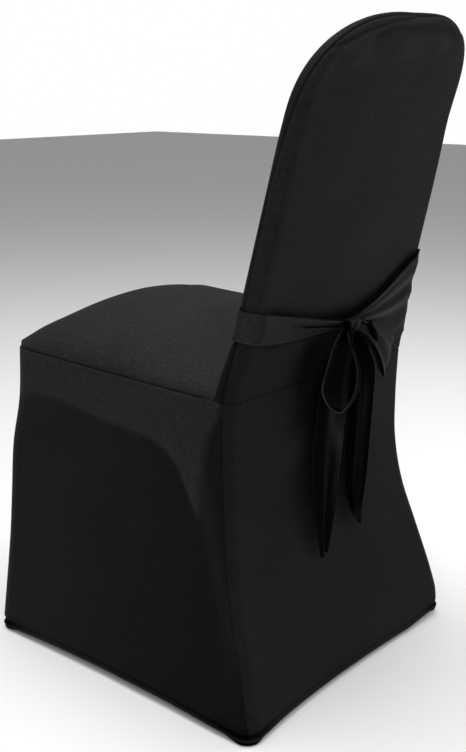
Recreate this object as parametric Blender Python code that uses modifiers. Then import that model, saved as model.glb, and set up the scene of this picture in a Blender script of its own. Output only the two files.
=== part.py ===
"""Stretch cover for a banquet chair, with a sash tied in a bow behind its back.

The cover is hollow. A skirt of four panels hangs from the seat seam to the hem, a seat
panel and two back panels close it above, four pockets hold the feet, and the sash goes
once round the back. Metres, Z up, the chair's front at -Y, the floor at Z = 0.
"""

import bmesh
import bpy
import numpy as np

COLLECTION = "chair_cover"

# Cloth
CLOTH = 0.0015
SEAM_GAP = 0.0008
SASH_CLOTH = 0.0016
SASH_CLEARANCE = 0.0020

# Seat and skirt
SEAM_Z = 0.4535
SEAM_FRONT_Z = 0.4650
HEM_Z = 0.007
EDGE_RADIUS = 0.006
EDGE_DEG = 45.0
SEAT_FRONT_Y = -0.2836
SEAT_REAR_Y = 0.1595
SEAT_CROWN = 0.0750
SEAT_RUN_SIDE = 0.2165
SEAT_RUN_FRONT = 0.112
SEAT_SIDE_POWER = 0.47
SEAT_FRONT_POWER = 0.61
SEAT_FALL = 0.28
SEAT_FALL_Y = -0.062
RAIL_TOP_DEG = -40.0
DENT_RUN = 0.030
DENT_DROP = 0.050

# Back
BACK_RADIUS = 0.0175
BACK_HALF = 0.1998
BACK_TAPER = 0.056
WAIST_FLARE = 0.0106
WAIST_FLARE_RISE = 0.050
BACK_MID_Y = 0.1420
BACK_LEAN = 0.2305
BACK_CURVE = 0.0023
SHOULDER_Z = 0.811
TOP_Z = 0.9405
TOP_POWER = 2.75
SWEEP_Z = 0.785
SWEEP = 1.06
REAR_CROWN = 0.003
CUSHION_BULGE = 0.010

# The skirt's outline at each level, one half: rear corner, front corner, inward bow between legs
SKIRT_COLUMNS = ("level", "rear_half", "rear_y", "rear_r", "seam_deg", "front_half", "front_y", "front_r", "bow",
                 "rear_bow")
SKIRT_ROWS = (
    (0.0000, 0.2620, 0.2365, 0.0250, 45.0, 0.2640, -0.2940, 0.0250, 0.0050, 0.0105),
    (0.0850, 0.2465, 0.2160, 0.0220, 40.0, 0.2545, -0.2900, 0.0270, 0.0085, 0.0105),
    (0.1650, 0.2350, 0.1895, 0.0210, 38.0, 0.2435, -0.2890, 0.0280, 0.0090, 0.0090),
    (0.2300, 0.2220, 0.1710, 0.0200, 35.0, 0.2372, -0.2884, 0.0290, 0.0080, 0.0080),
    (0.3100, 0.2130, 0.1590, 0.0195, 32.0, 0.2320, -0.2855, 0.0320, 0.0045, 0.0045),
    (0.3760, 0.2106, 0.1577, 0.0185, 26.0, 0.2192, -0.2866, 0.0400, 0.0000, 0.0000),
    (0.4535, 0.2104, 0.1595, 0.0175, 18.0, 0.2168, -0.2854, 0.0450, -0.0015, -0.0015),
)

# The seam up the side of the back, as degrees round the edge: 0 is straight out, 90 the rear face
BACK_SEAM_COLUMNS = ("z", "degrees")
BACK_SEAM_ROWS = (
    (0.4535, 18.0),
    (0.5000, 2.0),
    (0.6000, -10.0),
    (0.7600, -10.0),
    (0.8500, 16.0),
    (0.9000, 32.0),
    (0.9440, 40.0),
)

# The sash round the back: place round it, top edge, bottom edge, depth of its folds
SASH_COLUMNS = ("s", "top", "bottom", "fold")
SASH_ROWS = (
    (-0.05, 0.5340, 0.5240, 0.0000),
    (0.35, 0.5482, 0.5240, 0.0030),
    (0.65, 0.5595, 0.5250, 0.0026),
    (1.00, 0.5720, 0.5310, 0.0012),
    (1.50, 0.5765, 0.5365, 0.0006),
    (2.00, 0.5800, 0.5330, 0.0010),
    (3.00, 0.5920, 0.5150, 0.0020),
    (4.00, 0.6080, 0.4950, 0.0016),
    (4.50, 0.6120, 0.4880, 0.0010),
    (5.00, 0.6090, 0.4800, 0.0020),
    (5.20, 0.5900, 0.4710, 0.0034),
    (5.45, 0.5620, 0.4880, 0.0040),
    (5.84, 0.5320, 0.5210, 0.0000),
)
KNOT_CENTRE = (-0.0170, 0.1930, 0.5290)
KNOT_HALF = (0.0150, 0.0095, 0.0110)

# Ribbons of the bow: front edge or middle, width, direction across, depth of the lengthwise fold
RIBBON_COLUMNS = ("x", "y", "z", "width", "across_x", "across_y", "across_z", "fold")
LOOP_LEFT_ROWS = (
    (-0.0085, 0.1965, 0.5182, 0.010, -0.70, -0.50, -0.10, 0.000),
    (-0.0070, 0.1990, 0.4995, 0.017, -0.85, -0.42, -0.15, 0.001),
    (-0.0150, 0.2000, 0.4750, 0.028, -0.85, -0.40, -0.20, 0.002),
    (-0.0210, 0.2000, 0.4480, 0.034, -0.85, -0.40, -0.20, 0.001),
    (-0.0110, 0.2000, 0.4210, 0.036, -0.85, -0.40, -0.20, 0.000),
    (0.0160, 0.2000, 0.4070, 0.036, -0.85, -0.40, -0.20, 0.000),
    (0.0450, 0.2000, 0.4230, 0.036, -0.85, -0.40, -0.20, 0.000),
    (0.0600, 0.2000, 0.4500, 0.034, -0.85, -0.40, -0.20, 0.001),
    (0.0490, 0.2000, 0.4800, 0.028, -0.85, -0.40, -0.20, 0.002),
    (0.0330, 0.1980, 0.5080, 0.020, -0.80, -0.40, -0.15, 0.002),
    (0.0080, 0.1958, 0.5275, 0.009, -0.60, -0.40, 0.10, 0.000),
)
LOOP_RIGHT_ROWS = (
    (-0.0334, 0.1970, 0.5250, 0.012, 0.15, 0.05, -0.98, 0.001),
    (-0.0640, 0.1985, 0.5110, 0.028, 0.10, 0.05, -0.99, 0.003),
    (-0.0960, 0.1960, 0.4880, 0.044, 0.20, 0.02, -0.97, 0.003),
    (-0.1220, 0.1900, 0.4640, 0.058, 0.33, 0.00, -0.94, 0.001),
    (-0.1300, 0.1840, 0.4560, 0.061, 0.35, 0.00, -0.93, 0.000),
    (-0.1160, 0.1826, 0.4671, 0.056, 0.33, 0.00, -0.94, 0.000),
    (-0.0870, 0.1855, 0.4910, 0.040, 0.20, 0.00, -0.97, 0.001),
    (-0.0560, 0.1895, 0.5160, 0.022, 0.10, 0.00, -0.99, 0.001),
    (-0.0339, 0.1915, 0.5320, 0.011, 0.10, 0.00, -0.99, 0.000),
)
TAIL_LEFT_ROWS = (
    (-0.0225, 0.1890, 0.5185, 0.012, 1.0, 0.00, 0.00, 0.000),
    (-0.0170, 0.1835, 0.4770, 0.034, 1.0, 0.00, 0.00, 0.002),
    (-0.0088, 0.1745, 0.4340, 0.064, 1.0, 0.00, 0.00, 0.005),
    (-0.0043, 0.1720, 0.3915, 0.078, 1.0, 0.00, 0.00, 0.005),
    (0.0027, 0.1720, 0.3315, 0.076, 1.0, 0.00, 0.00, 0.006),
    (0.0132, 0.1760, 0.2627, 0.058, 1.0, 0.00, 0.00, 0.006),
    (0.0210, 0.1810, 0.2149, 0.036, 1.0, 0.00, 0.00, 0.004),
    (0.0252, 0.1850, 0.1856, 0.017, 1.0, 0.00, 0.00, 0.002),
)
TAIL_RIGHT_ROWS = (
    (-0.0285, 0.1862, 0.5165, 0.010, 1.0, 0.00, 0.00, 0.000),
    (-0.0475, 0.1770, 0.4830, 0.034, 1.0, 0.00, 0.00, 0.002),
    (-0.0770, 0.1720, 0.4410, 0.064, 1.0, 0.00, 0.00, 0.003),
    (-0.0820, 0.1700, 0.3905, 0.068, 1.0, 0.00, 0.00, 0.004),
    (-0.0770, 0.1700, 0.3355, 0.070, 1.0, 0.00, 0.00, 0.005),
    (-0.0680, 0.1730, 0.2760, 0.062, 1.0, 0.00, 0.00, 0.005),
    (-0.0640, 0.1780, 0.2330, 0.034, 1.0, 0.00, 0.00, 0.004),
    (-0.0700, 0.1815, 0.2050, 0.010, 1.0, 0.00, 0.00, 0.001),
)

# Foot pockets
POCKET_GAP = 0.0012
POCKET_RISE = 0.034
POCKET_SPAN = 0.052
POCKET_ROUND = 0.005

# How finely each piece is divided
SKIRT_STEPS = (0.0, 0.10, 0.22, 0.34, 0.46, 0.58, 0.70, 0.80, 0.88, 0.94, 1.0)
EDGE_STEPS = (15.0, 30.0, 45.0)
FRONT_PLACES = (0.0, 0.34, 0.67, 1.0, 1.17, 1.34, 1.5)
CORNER_PLACES = (1.5, 1.66, 1.83, 2.0)
SIDE_SHARES = (0.18, 0.38, 0.58, 0.76, 0.90, 1.0)
BACK_INSETS = (0.0, 0.07, 0.20, 0.42, 0.70, 1.0)
REAR_SHARES = (0.0, 0.10, 0.36, 0.68, 1.0)
INNER_SHARES = (0.0, 0.09, 0.30, 0.537, 0.77, 1.0)


def smooth_table(rows, columns, at):
    """Each column read at the given places, along a curve through the rows."""
    table = np.array(rows, float)
    x = table[:, 0]
    slope = np.gradient(table, x, axis=0)
    at = np.clip(np.asarray(at, float), x[0], x[-1])
    k = np.clip(np.searchsorted(x, at, side="right") - 1, 0, len(x) - 2)
    step = (x[k + 1] - x[k])[..., None]
    t = ((at - x[k])[..., None]) / step
    value = (
        (2 * t**3 - 3 * t**2 + 1) * table[k]
        + (t**3 - 2 * t**2 + t) * step * slope[k]
        + (3 * t**2 - 2 * t**3) * table[k + 1]
        + (t**3 - t**2) * step * slope[k + 1]
    )
    return {name: value[..., i] for i, name in enumerate(columns)}


def soft(t):
    """0 to 1 with level ends."""
    t = np.clip(t, 0.0, 1.0)
    return t * t * (3.0 - 2.0 * t)


def unit(vectors):
    return vectors / np.linalg.norm(vectors, axis=-1, keepdims=True)


# The skirt


def skirt_point(level, p, curl_deg=0.0):
    """A point of the skirt's outer face on the +X half.

    p runs round the half: 0 to 1 along the front from its middle, 1 to 2 round the front
    corner, 2 to 3 along the side, 3 to 4 round the rear corner, 4 to 5 to the rear's middle.
    curl_deg turns the top edge in over the seat cushion.
    """
    level, p, curl_deg = np.broadcast_arrays(*(np.asarray(v, float) for v in (level, p, curl_deg)))
    row = smooth_table(SKIRT_ROWS, SKIRT_COLUMNS, level)
    front_x = row["front_half"] - row["front_r"]
    front_y = row["front_y"] + row["front_r"]
    rear_x = row["rear_half"] - row["rear_r"]
    rear_y = row["rear_y"] - row["rear_r"]
    angle = np.radians(np.where(p < 2.5, np.clip(p - 2, -1, 0), np.clip(p - 3, 0, 1)) * 90)
    out = np.stack([np.cos(angle), np.sin(angle)], -1)
    along = np.clip(p, 0, 1) * (p < 1) + (p >= 1)
    side = np.clip(p - 2, 0, 1)
    radius = row["front_r"] + (row["rear_r"] - row["front_r"]) * side
    back = np.clip(p - 4, 0, 1)
    x = np.where(p < 1, along * front_x, np.where(p < 2, front_x, front_x + (rear_x - front_x) * side))
    x = np.where(p > 4, rear_x * (1 - back), x)
    y = np.where(p < 2, front_y, front_y + (rear_y - front_y) * side)
    x = x + radius * out[..., 0]
    y = y + radius * out[..., 1]
    straight = np.where(p < 1, 1 - along**2, np.where(p > 4, 1 - (1 - back) ** 2, 4 * side * (1 - side)))
    straight = np.where((p >= 1) & (p <= 2) | (p >= 3) & (p <= 4), 0.0, straight)
    bow = np.where(p > 4, row["rear_bow"], row["bow"]) * straight
    x = x - bow * out[..., 0]
    y = y - bow * out[..., 1]
    # The side goes in beside the back's front corner, where the cushion ends
    near_top = soft((level - (SEAM_Z - DENT_DROP)) / DENT_DROP)
    reach = np.clip(BACK_MID_Y - y, 0, BACK_RADIUS * np.sin(np.radians(-RAIL_TOP_DEG)))
    dent = BACK_RADIUS - np.sqrt(BACK_RADIUS**2 - reach**2)
    fade = 1 - soft((BACK_MID_Y - BACK_RADIUS - y) / DENT_RUN)
    x = x - dent * fade * near_top * (p > 1.5) * (p < 3.5)
    # The top edge turns in over the cushion, but not beside the back
    cushion = soft((BACK_MID_Y - 0.016 - y) / DENT_RUN)
    turn = np.radians(curl_deg)
    inward = EDGE_RADIUS * (1 - np.cos(turn)) * cushion
    run = (rear_y + row["rear_r"] - row["front_y"])
    lift = (SEAM_FRONT_Z - SEAM_Z) * np.clip((rear_y + row["rear_r"] - y) / run, 0, 1)
    z = level + lift * (level / SEAM_Z) ** 3
    z = z - EDGE_RADIUS * (np.sin(np.radians(EDGE_DEG)) - np.sin(turn)) * soft((level - SEAM_Z * 0.9) / (SEAM_Z * 0.1))
    return np.stack([x - inward * out[..., 0], y - inward * out[..., 1], z], -1)


def rear_seam_p(level):
    """Where the rear corner seam runs, as a place p round the half."""
    return 3 + smooth_table(SKIRT_ROWS, SKIRT_COLUMNS, level)["seam_deg"] / 90


def skirt_levels():
    """Levels and top-edge angles of the skirt's rows, hem first."""
    levels = HEM_Z + (SEAM_Z - HEM_Z) * np.array(SKIRT_STEPS)
    levels = np.concatenate([levels, np.full(len(EDGE_STEPS), SEAM_Z)])
    curls = np.concatenate([np.zeros(len(SKIRT_STEPS)), np.array(EDGE_STEPS)])
    return levels, curls


def mirror_x(grid):
    return grid * np.array([-1.0, 1.0, 1.0])


def front_skirt_grid():
    levels, curls = skirt_levels()
    half = skirt_point(levels[:, None], np.array(FRONT_PLACES)[None, :], curls[:, None])
    return np.concatenate([mirror_x(half[:, :0:-1]), half], 1)


def side_skirt_grid():
    levels, curls = skirt_levels()
    end = rear_seam_p(levels)
    columns = [np.full(len(levels), v) for v in (*CORNER_PLACES, *side_places(), 3.0)]
    columns += [3 + (end - 3) * f for f in (0.35, 0.70, 1.0)]
    p = np.stack(columns, 1)
    return skirt_point(levels[:, None], p, curls[:, None])


def side_places():
    """Places along the side, as far as the back's front corner."""
    return 2 + (seat_corner()[2] - 2) * np.array(SIDE_SHARES)


def rear_skirt_grid():
    levels, curls = skirt_levels()
    start = rear_seam_p(levels)
    columns = [start + (4 - start) * f for f in (0, 0.16, 0.55, 1)]
    columns += [np.full(len(levels), v) for v in (4.2, 4.45, 4.72, 5.0)]
    p = np.stack(columns, 1)
    half = skirt_point(levels[:, None], p, curls[:, None])
    return np.concatenate([half, mirror_x(half[:, -2::-1])], 1)


# The back


def back_half(z):
    """Half width of the back over its edges' outermost line."""
    return BACK_HALF - BACK_TAPER * (z - 0.45) + WAIST_FLARE * np.exp(-((z - SEAM_Z) / WAIST_FLARE_RISE) ** 2)


def back_mid(z):
    """Depth of the back's middle plane, which leans and curves back."""
    sweep = SWEEP * np.clip(z - SWEEP_Z, 0, None) ** 2
    return BACK_MID_Y + BACK_LEAN * (z - 0.45) + BACK_CURVE * (z - 0.45) ** 2 + sweep


def back_outline(t):
    """The line of the edge circles' centres on the +X half, t from 0 at the waist to 1 at the top.

    It goes up the side, then over the top as a superellipse. Returns x, z and the outward direction.
    """
    side_share = 0.60
    rise = np.clip(t / side_share, 0, 1)
    turn = np.clip((t - side_share) / (1 - side_share), 0, 1) * np.pi / 2
    z_side = SEAM_Z + (SHOULDER_Z - SEAM_Z) * rise
    half = back_half(SHOULDER_Z) - BACK_RADIUS
    height = TOP_Z - BACK_RADIUS - SHOULDER_Z
    power = 2.0 / TOP_POWER
    x = np.where(t <= side_share, back_half(z_side) - BACK_RADIUS, half * np.cos(turn) ** power)
    z = np.where(t <= side_share, z_side, SHOULDER_Z + height * np.sin(turn) ** power)
    x = np.where(t >= 1, 0.0, x)
    fine = np.gradient(np.stack([x, z], -1), axis=0)
    out = unit(np.stack([fine[:, 1], -fine[:, 0]], -1))
    out[0] = (1.0, 0.0)
    out[-1] = (0.0, 1.0)
    return x, z, out


def spine_z(t):
    """The height on the middle line that each place on the outline is joined to."""
    return SEAM_Z + (TOP_Z - 0.115 - SEAM_Z) * t


def back_bulge(x, z):
    """How far the inner face stands forward of the edge, over the back's cushion."""
    across = np.clip(1 - (x / (back_half(z) - BACK_RADIUS + 1e-6)) ** 2, 0, 1)
    up = soft((z - SEAM_Z - 0.02) / 0.10) * soft((TOP_Z - z) / 0.10)
    return CUSHION_BULGE * across * up


def back_steps():
    """Places up the outline: closer over the flare at the waist and over the top."""
    side = (0, 0.03, 0.065, 0.105, 0.16, 0.23, 0.32, 0.42, 0.51, 0.60)
    return np.concatenate([side, np.linspace(0.60, 1, 9)[1:]])


def seam_degrees(z):
    return smooth_table(BACK_SEAM_ROWS, BACK_SEAM_COLUMNS, z)["degrees"]


def back_panel_half(rear):
    """Half of the rear panel (rear=True) or of the inner panel, from the edge seam to the middle line."""
    t = back_steps()
    x, z, out = back_outline(t)
    seam = seam_degrees(z)
    face = 90.0 if rear else -90.0
    columns = []
    for share in REAR_SHARES if rear else INNER_SHARES:
        angle = np.radians(seam + (face - seam) * share)
        px = x + BACK_RADIUS * np.cos(angle) * out[:, 0]
        pz = z + BACK_RADIUS * np.cos(angle) * out[:, 1]
        columns.append(np.stack([px, back_mid(pz) + BACK_RADIUS * np.sin(angle), pz], -1))
    for inset in BACK_INSETS[1:]:
        px = x * (1 - inset)
        pz = z + (spine_z(t) - z) * inset
        crown = REAR_CROWN * np.sin(inset * np.pi / 2) * soft((pz - SEAM_Z) / 0.08)
        depth = BACK_RADIUS + crown if rear else -BACK_RADIUS - back_bulge(px, pz)
        columns.append(np.stack([px, back_mid(pz) + depth, pz], -1))
    grid = np.stack(columns, 1)
    grid[:, -1, 0] = 0.0
    grid[-1, :, 0] = 0.0
    # The lower rows stand on the sloping waist seam, and in front on the seat's rear edge
    rise = seam_slope(grid[0, :, 1])
    if not rear:
        on_seat = grid[0, :, 1] < seat_corner()[1] + 1e-5
        rise = np.where(on_seat, seat_rear_edge(grid[0, :, 0])[1] - SEAM_Z, rise)
    lifted = grid[:, :, 2] + rise[None, :] * (1 - soft((grid[:, :, 2] - SEAM_Z) / 0.12))
    bulge = 0.0 if rear else back_bulge(grid[:, :, 0], grid[:, :, 2]) - back_bulge(grid[:, :, 0], lifted)
    grid[:, :, 1] += back_mid(lifted) - back_mid(grid[:, :, 2]) + bulge
    grid[:, :, 2] = lifted
    return grid


# The seat


def seam_slope(y):
    """How far the seat seam has risen above the waist at each depth."""
    return (SEAM_FRONT_Z - SEAM_Z) * np.clip((SEAT_REAR_Y - y) / (SEAT_REAR_Y - SEAT_FRONT_Y), 0, 1)


def seat_height(x, y, half):
    """Height of the seat panel: the seam's slope plus a crown that rises from the side and front edges."""
    from_side = np.clip((half - np.abs(x)) / SEAT_RUN_SIDE, 0, 1)
    from_front = np.clip((y - SEAT_FRONT_Y) / SEAT_RUN_FRONT, 0, 1)
    crown = np.sin(from_side * np.pi / 2) ** SEAT_SIDE_POWER * np.sin(from_front * np.pi / 2) ** SEAT_FRONT_POWER
    fall = 1 - SEAT_FALL * soft((y - SEAT_FALL_Y) / (BACK_MID_Y - BACK_RADIUS - SEAT_FALL_Y))
    return SEAM_Z + seam_slope(y) + SEAT_CROWN * crown * fall


def seat_corner():
    """Where the seat seam meets the back's front edge: x, y and the place p on the skirt."""
    angle = np.radians(RAIL_TOP_DEG)
    x = back_half(SEAM_Z) - BACK_RADIUS + BACK_RADIUS * np.cos(angle)
    y = BACK_MID_Y + BACK_RADIUS * np.sin(angle)
    places = np.linspace(2.5, 3, 400)
    line = skirt_point(SEAM_Z, places, EDGE_DEG)
    return x, y, float(np.interp(y, line[:, 1], places))


def seat_rear_edge(x):
    """The line where the seat meets the inner face of the leaning back: y and z at each place across."""
    corner_x, corner_y, _ = seat_corner()
    edge = np.clip(np.abs(x) - (back_half(SEAM_Z) - BACK_RADIUS), 0, BACK_RADIUS)
    y = np.full(np.shape(x), corner_y)
    for _ in range(6):
        z = seat_height(x, y, corner_x)
        y = back_mid(z) - np.sqrt(BACK_RADIUS**2 - edge**2) - back_bulge(x, z) * (edge == 0)
    return y, z


def seat_insets():
    """Shares of the half width for the seat's lines, so that its rear edge meets the inner panel's."""
    edge = back_half(SEAM_Z) - BACK_RADIUS
    turn = np.radians([a for a in 18.0 - 108.0 * np.array(INNER_SHARES) if a < RAIL_TOP_DEG + 0.5])
    x = np.concatenate([edge + BACK_RADIUS * np.cos(turn), edge * (1 - np.array(BACK_INSETS[1:]))])
    return 1 - x / x[0]


def seat_half_grid():
    """Half of the seat panel: from its seam to the middle line, rear edge last."""
    corner_x, corner_y, _ = seat_corner()
    p = np.concatenate([FRONT_PLACES, CORNER_PLACES[1:], side_places()])
    edge = skirt_point(SEAM_Z, p, EDGE_DEG)
    edge[0, 0] = 0.0
    share = np.concatenate([[0], np.cumsum(np.linalg.norm(np.diff(edge[:, :2], axis=0), axis=1))])
    share /= share[-1]
    spine_front = -0.187
    columns = []
    for inset in seat_insets():
        x = edge[:, 0] * (1 - inset)
        middle_y = spine_front + (corner_y - spine_front) * share**1.4
        y = edge[:, 1] + (middle_y - edge[:, 1]) * inset
        y = y + (seat_rear_edge(x)[0] - corner_y) * soft((share - 0.72) / 0.28) * (inset > 0)
        z = np.maximum(seat_height(x, y, np.maximum(edge[:, 0], corner_x)), edge[:, 2] if inset == 0 else 0)
        z = edge[:, 2] if inset == 0 else z
        columns.append(np.stack([x, y, z], -1))
    grid = np.stack(columns, 1)
    grid[:, -1, 0] = 0.0
    return grid


# The sash


def round_back(s, z, out):
    """A point that far outside the covered back, s being the place round it.

    s: 0 to 1 rear face from the middle to +X, 1 to 2 the +X edge, 2 to 4 the inner face,
    4 to 5 the -X edge, 5 to 6 rear face back to the middle.
    """
    half = back_half(z) - BACK_RADIUS
    mid = back_mid(z)
    radius = BACK_RADIUS + out
    angle = np.radians(90 - 180 * np.clip(np.where(s < 3, s - 1, 5 - s), 0, 1))
    side = np.where(s < 3, 1.0, -1.0)
    inner = (s > 2) & (s < 4)
    rear_x = np.where(s < 3, s * half, -(6 - s) * half)
    x = np.where((s < 1) | (s > 5), rear_x, side * (half + radius * np.cos(angle)))
    x = np.where(inner, (3 - s) * half, x)
    y = mid + radius * np.where((s < 1) | (s > 5), 1.0, np.sin(angle))
    y = np.where((s < 1) | (s > 5), y + REAR_CROWN, y)
    bulge = back_bulge(np.clip(x, -half, half), z)
    y = np.where(inner, mid - radius - bulge, y)
    return np.stack([x, y, z], -1)


def sash_grid():
    s = np.concatenate(
        [
            np.linspace(-0.05, 0.9, 8),
            np.linspace(1.0, 2.0, 7),
            np.linspace(2.25, 3.75, 6),
            np.linspace(4.0, 5.0, 7),
            np.linspace(5.1, 5.84, 8),
        ]
    )
    row = smooth_table(SASH_ROWS, SASH_COLUMNS, s)
    v = np.linspace(0, 1, 7)
    z = row["top"][:, None] + (row["bottom"] - row["top"])[:, None] * v[None, :]
    ridges = 0.5 - 0.5 * np.cos(v * 2 * np.pi * 2.0)
    fold = row["fold"][:, None] * ridges[None, :]
    return round_back(np.repeat(s[:, None], len(v), 1), z, SASH_CLEARANCE + fold)


def ribbon_grid(rows, steps, across_steps, anchor):
    """A ribbon on a curve through its rows; anchor is 0 where they give one edge, 0.5 the middle."""
    table = np.concatenate([np.arange(len(rows), dtype=float)[:, None], np.array(rows, float)], 1)
    row = smooth_table(table, ("place", *RIBBON_COLUMNS), np.linspace(0, len(rows) - 1, steps))
    path = np.stack([row["x"], row["y"], row["z"]], -1)
    across = unit(np.stack([row["across_x"], row["across_y"], row["across_z"]], -1))
    along = unit(np.gradient(path, axis=0))
    normal = unit(np.cross(along, across))
    v = np.linspace(0, 1, across_steps)
    offset = (v - anchor)[None, :, None] * row["width"][:, None, None] * across[:, None, :]
    ridge = np.sin(v * np.pi * 2)[None, :, None] * row["fold"][:, None, None] * normal[:, None, :]
    return path[:, None, :] + offset + ridge


# The foot pockets


def pocket_rings(front, side):
    """Rings of one foot pocket, rim first: the skirt's corner set in by the cloth, closed behind the foot."""
    inset = CLOTH + POCKET_GAP
    heights = (POCKET_RISE, 0.020, POCKET_ROUND, POCKET_ROUND * 0.3, 0.0, 0.0)
    shrinks = (0.0, 0.0, 0.0, POCKET_ROUND * 0.3, POCKET_ROUND, 0.020)
    centre_p = 1.5 if front else 3.5
    rings = []
    for height, shrink in zip(heights, shrinks):
        fine = skirt_point(max(height, 0.0), np.linspace(centre_p - 0.9, centre_p + 0.9, 241))
        walk = np.concatenate([[0], np.cumsum(np.linalg.norm(np.diff(fine[:, :2], axis=0), axis=1))])
        walk -= np.interp(centre_p, np.linspace(centre_p - 0.9, centre_p + 0.9, 241), walk)
        tangent = unit(np.gradient(fine[:, :2], axis=0))
        outward = np.stack([tangent[:, 1], -tangent[:, 0]], -1)
        want = np.array((-1.0, -0.62, -0.36, -0.22, -0.11, 0.0, 0.11, 0.22, 0.36, 0.62, 1.0)) * POCKET_SPAN
        line = np.stack([np.interp(want, walk, fine[:, k]) for k in (0, 1)], -1)
        normal = unit(np.stack([np.interp(want, walk, outward[:, k]) for k in (0, 1)], -1))
        outer = line - normal * inset
        corner = outer[0] + outer[-1] - outer[5]
        inner = [outer[-1] + (corner - outer[-1]) * 0.62, corner + (outer[5] - corner) * 0.12, outer[0] + (corner - outer[0]) * 0.62]
        ring = np.concatenate([outer, np.array(inner)])
        centre = ring.mean(0)
        away = ring - centre
        reach = np.linalg.norm(away, axis=1, keepdims=True)
        ring = ring - away * np.minimum(shrink / reach, 0.6)
        rings.append(np.concatenate([ring * (side, 1.0), np.full((len(ring), 1), height)], 1))
    rings.append(np.repeat(rings[-1].mean(0)[None, :], len(rings[0]), 0))
    return np.stack(rings)


# Making objects


def material(name, colour, roughness):
    made = bpy.data.materials.new(name)
    made.use_nodes = True
    shader = made.node_tree.nodes["Principled BSDF"]
    shader.inputs["Base Color"].default_value = (*colour, 1.0)
    shader.inputs["Roughness"].default_value = roughness
    shader.inputs["Metallic"].default_value = 0.0
    return made


def trimmed(grid, edges, gap=SEAM_GAP):
    """The grid with the named edges drawn back by half of the seam's gap."""
    grid = grid.copy()
    for edge in edges:
        axis, place, beside = {"top": (0, -1, -2), "bottom": (0, 0, 1), "start": (1, 0, 1), "end": (1, -1, -2)}[edge]
        line = np.take(grid, place, axis)
        step = unit(np.take(grid, beside, axis) - line) * gap / 2
        if axis == 0:
            grid[place] = line + step
        else:
            grid[:, place] = line + step
    return grid


def quads(rows, columns, closed):
    """Quads of a grid, closed in the column direction where asked."""
    last = columns if closed else columns - 1
    i, j = np.meshgrid(np.arange(rows - 1), np.arange(last), indexing="ij")
    k = (j + 1) % columns
    return np.stack([i * columns + j, i * columns + k, (i + 1) * columns + k, (i + 1) * columns + j], -1).reshape(-1, 4)


def panel(name, grid, finish, parts, thickness=CLOTH, offset=-1.0, mirrored=False, closed=False, flip=False):
    """One piece of cloth: a grid of points with a wall of the cloth's thickness."""
    grid = grid[:, ::-1] if flip else grid
    rows, columns = grid.shape[:2]
    mesh = bpy.data.meshes.new(name)
    mesh.from_pydata(grid.reshape(-1, 3).tolist(), [], quads(rows, columns, closed).tolist())
    mesh.validate()
    made = bpy.data.objects.new(name, mesh)
    parts.objects.link(made)
    mesh.materials.append(finish)
    if closed:
        weld = made.modifiers.new("Weld", "WELD")
        weld.merge_threshold = 0.0001
    if mirrored:
        mirror = made.modifiers.new("Mirror", "MIRROR")
        mirror.use_axis = (True, False, False)
        mirror.merge_threshold = 0.0001
    wall = made.modifiers.new("Cloth", "SOLIDIFY")
    wall.thickness = thickness
    wall.offset = offset
    wall.use_even_offset = True
    wall.thickness_clamp = 0.0
    mesh.shade_smooth()
    return made


def knot(name, finish, parts):
    """The tied knot: a ball drawn to its size, with the gathers that run over it."""
    shape = bmesh.new()
    bmesh.ops.create_uvsphere(shape, u_segments=18, v_segments=11, radius=1.0)
    for vertex in shape.verts:
        x, y, z = vertex.co
        gather = 1 + 0.05 * np.cos(x * 9.0) * (1 - z * z)
        vertex.co = (
            KNOT_CENTRE[0] + KNOT_HALF[0] * x * (1 + 0.10 * abs(x)),
            KNOT_CENTRE[1] + KNOT_HALF[1] * y * gather,
            KNOT_CENTRE[2] + KNOT_HALF[2] * z * gather,
        )
    mesh = bpy.data.meshes.new(name)
    shape.to_mesh(mesh)
    shape.free()
    mesh.materials.append(finish)
    mesh.shade_smooth()
    made = bpy.data.objects.new(name, mesh)
    parts.objects.link(made)
    return made


def clear_scene():
    for old in list(bpy.data.objects):
        bpy.data.objects.remove(old, do_unlink=True)


def make_skirt(cloth, parts):
    panel("front_skirt", trimmed(front_skirt_grid(), ("top", "start", "end")), cloth, parts)
    side = trimmed(side_skirt_grid(), ("top", "start", "end"))
    panel("side_skirt_left", side, cloth, parts)
    panel("side_skirt_right", mirror_x(side), cloth, parts, flip=True)
    panel("rear_skirt", trimmed(rear_skirt_grid(), ("top", "start", "end")), cloth, parts)


def make_body(cloth, parts):
    seat = trimmed(seat_half_grid(), ("start", "top"))
    panel("seat_panel", seat, cloth, parts, mirrored=True, flip=True)
    rear = trimmed(back_panel_half(True), ("bottom", "start"))
    panel("back_panel", rear, cloth, parts, mirrored=True)
    inner = trimmed(back_panel_half(False), ("bottom", "start"))
    panel("inner_back_panel", inner, cloth, parts, mirrored=True, flip=True)


def make_pockets(cloth, parts):
    for front, place in ((True, "front"), (False, "rear")):
        for side, name in ((1.0, "left"), (-1.0, "right")):
            rings = pocket_rings(front, side)
            panel(f"foot_pocket_{place}_{name}", rings, cloth, parts, closed=True, flip=side > 0)


def make_sash(satin, parts):
    panel("sash_band", sash_grid(), satin, parts, thickness=SASH_CLOTH, offset=1.0, flip=True)
    knot("sash_knot", satin, parts)
    panel("loop_left", ribbon_grid(LOOP_LEFT_ROWS, 30, 4, 0.0), satin, parts, thickness=SASH_CLOTH, offset=0.0)
    panel("loop_right", ribbon_grid(LOOP_RIGHT_ROWS, 24, 5, 0.5), satin, parts, thickness=SASH_CLOTH, offset=0.0)
    panel("tail_left", ribbon_grid(TAIL_LEFT_ROWS, 18, 9, 0.5), satin, parts, thickness=SASH_CLOTH, offset=0.0)
    panel("tail_right", ribbon_grid(TAIL_RIGHT_ROWS, 18, 9, 0.5), satin, parts, thickness=SASH_CLOTH, offset=0.0)


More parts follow.
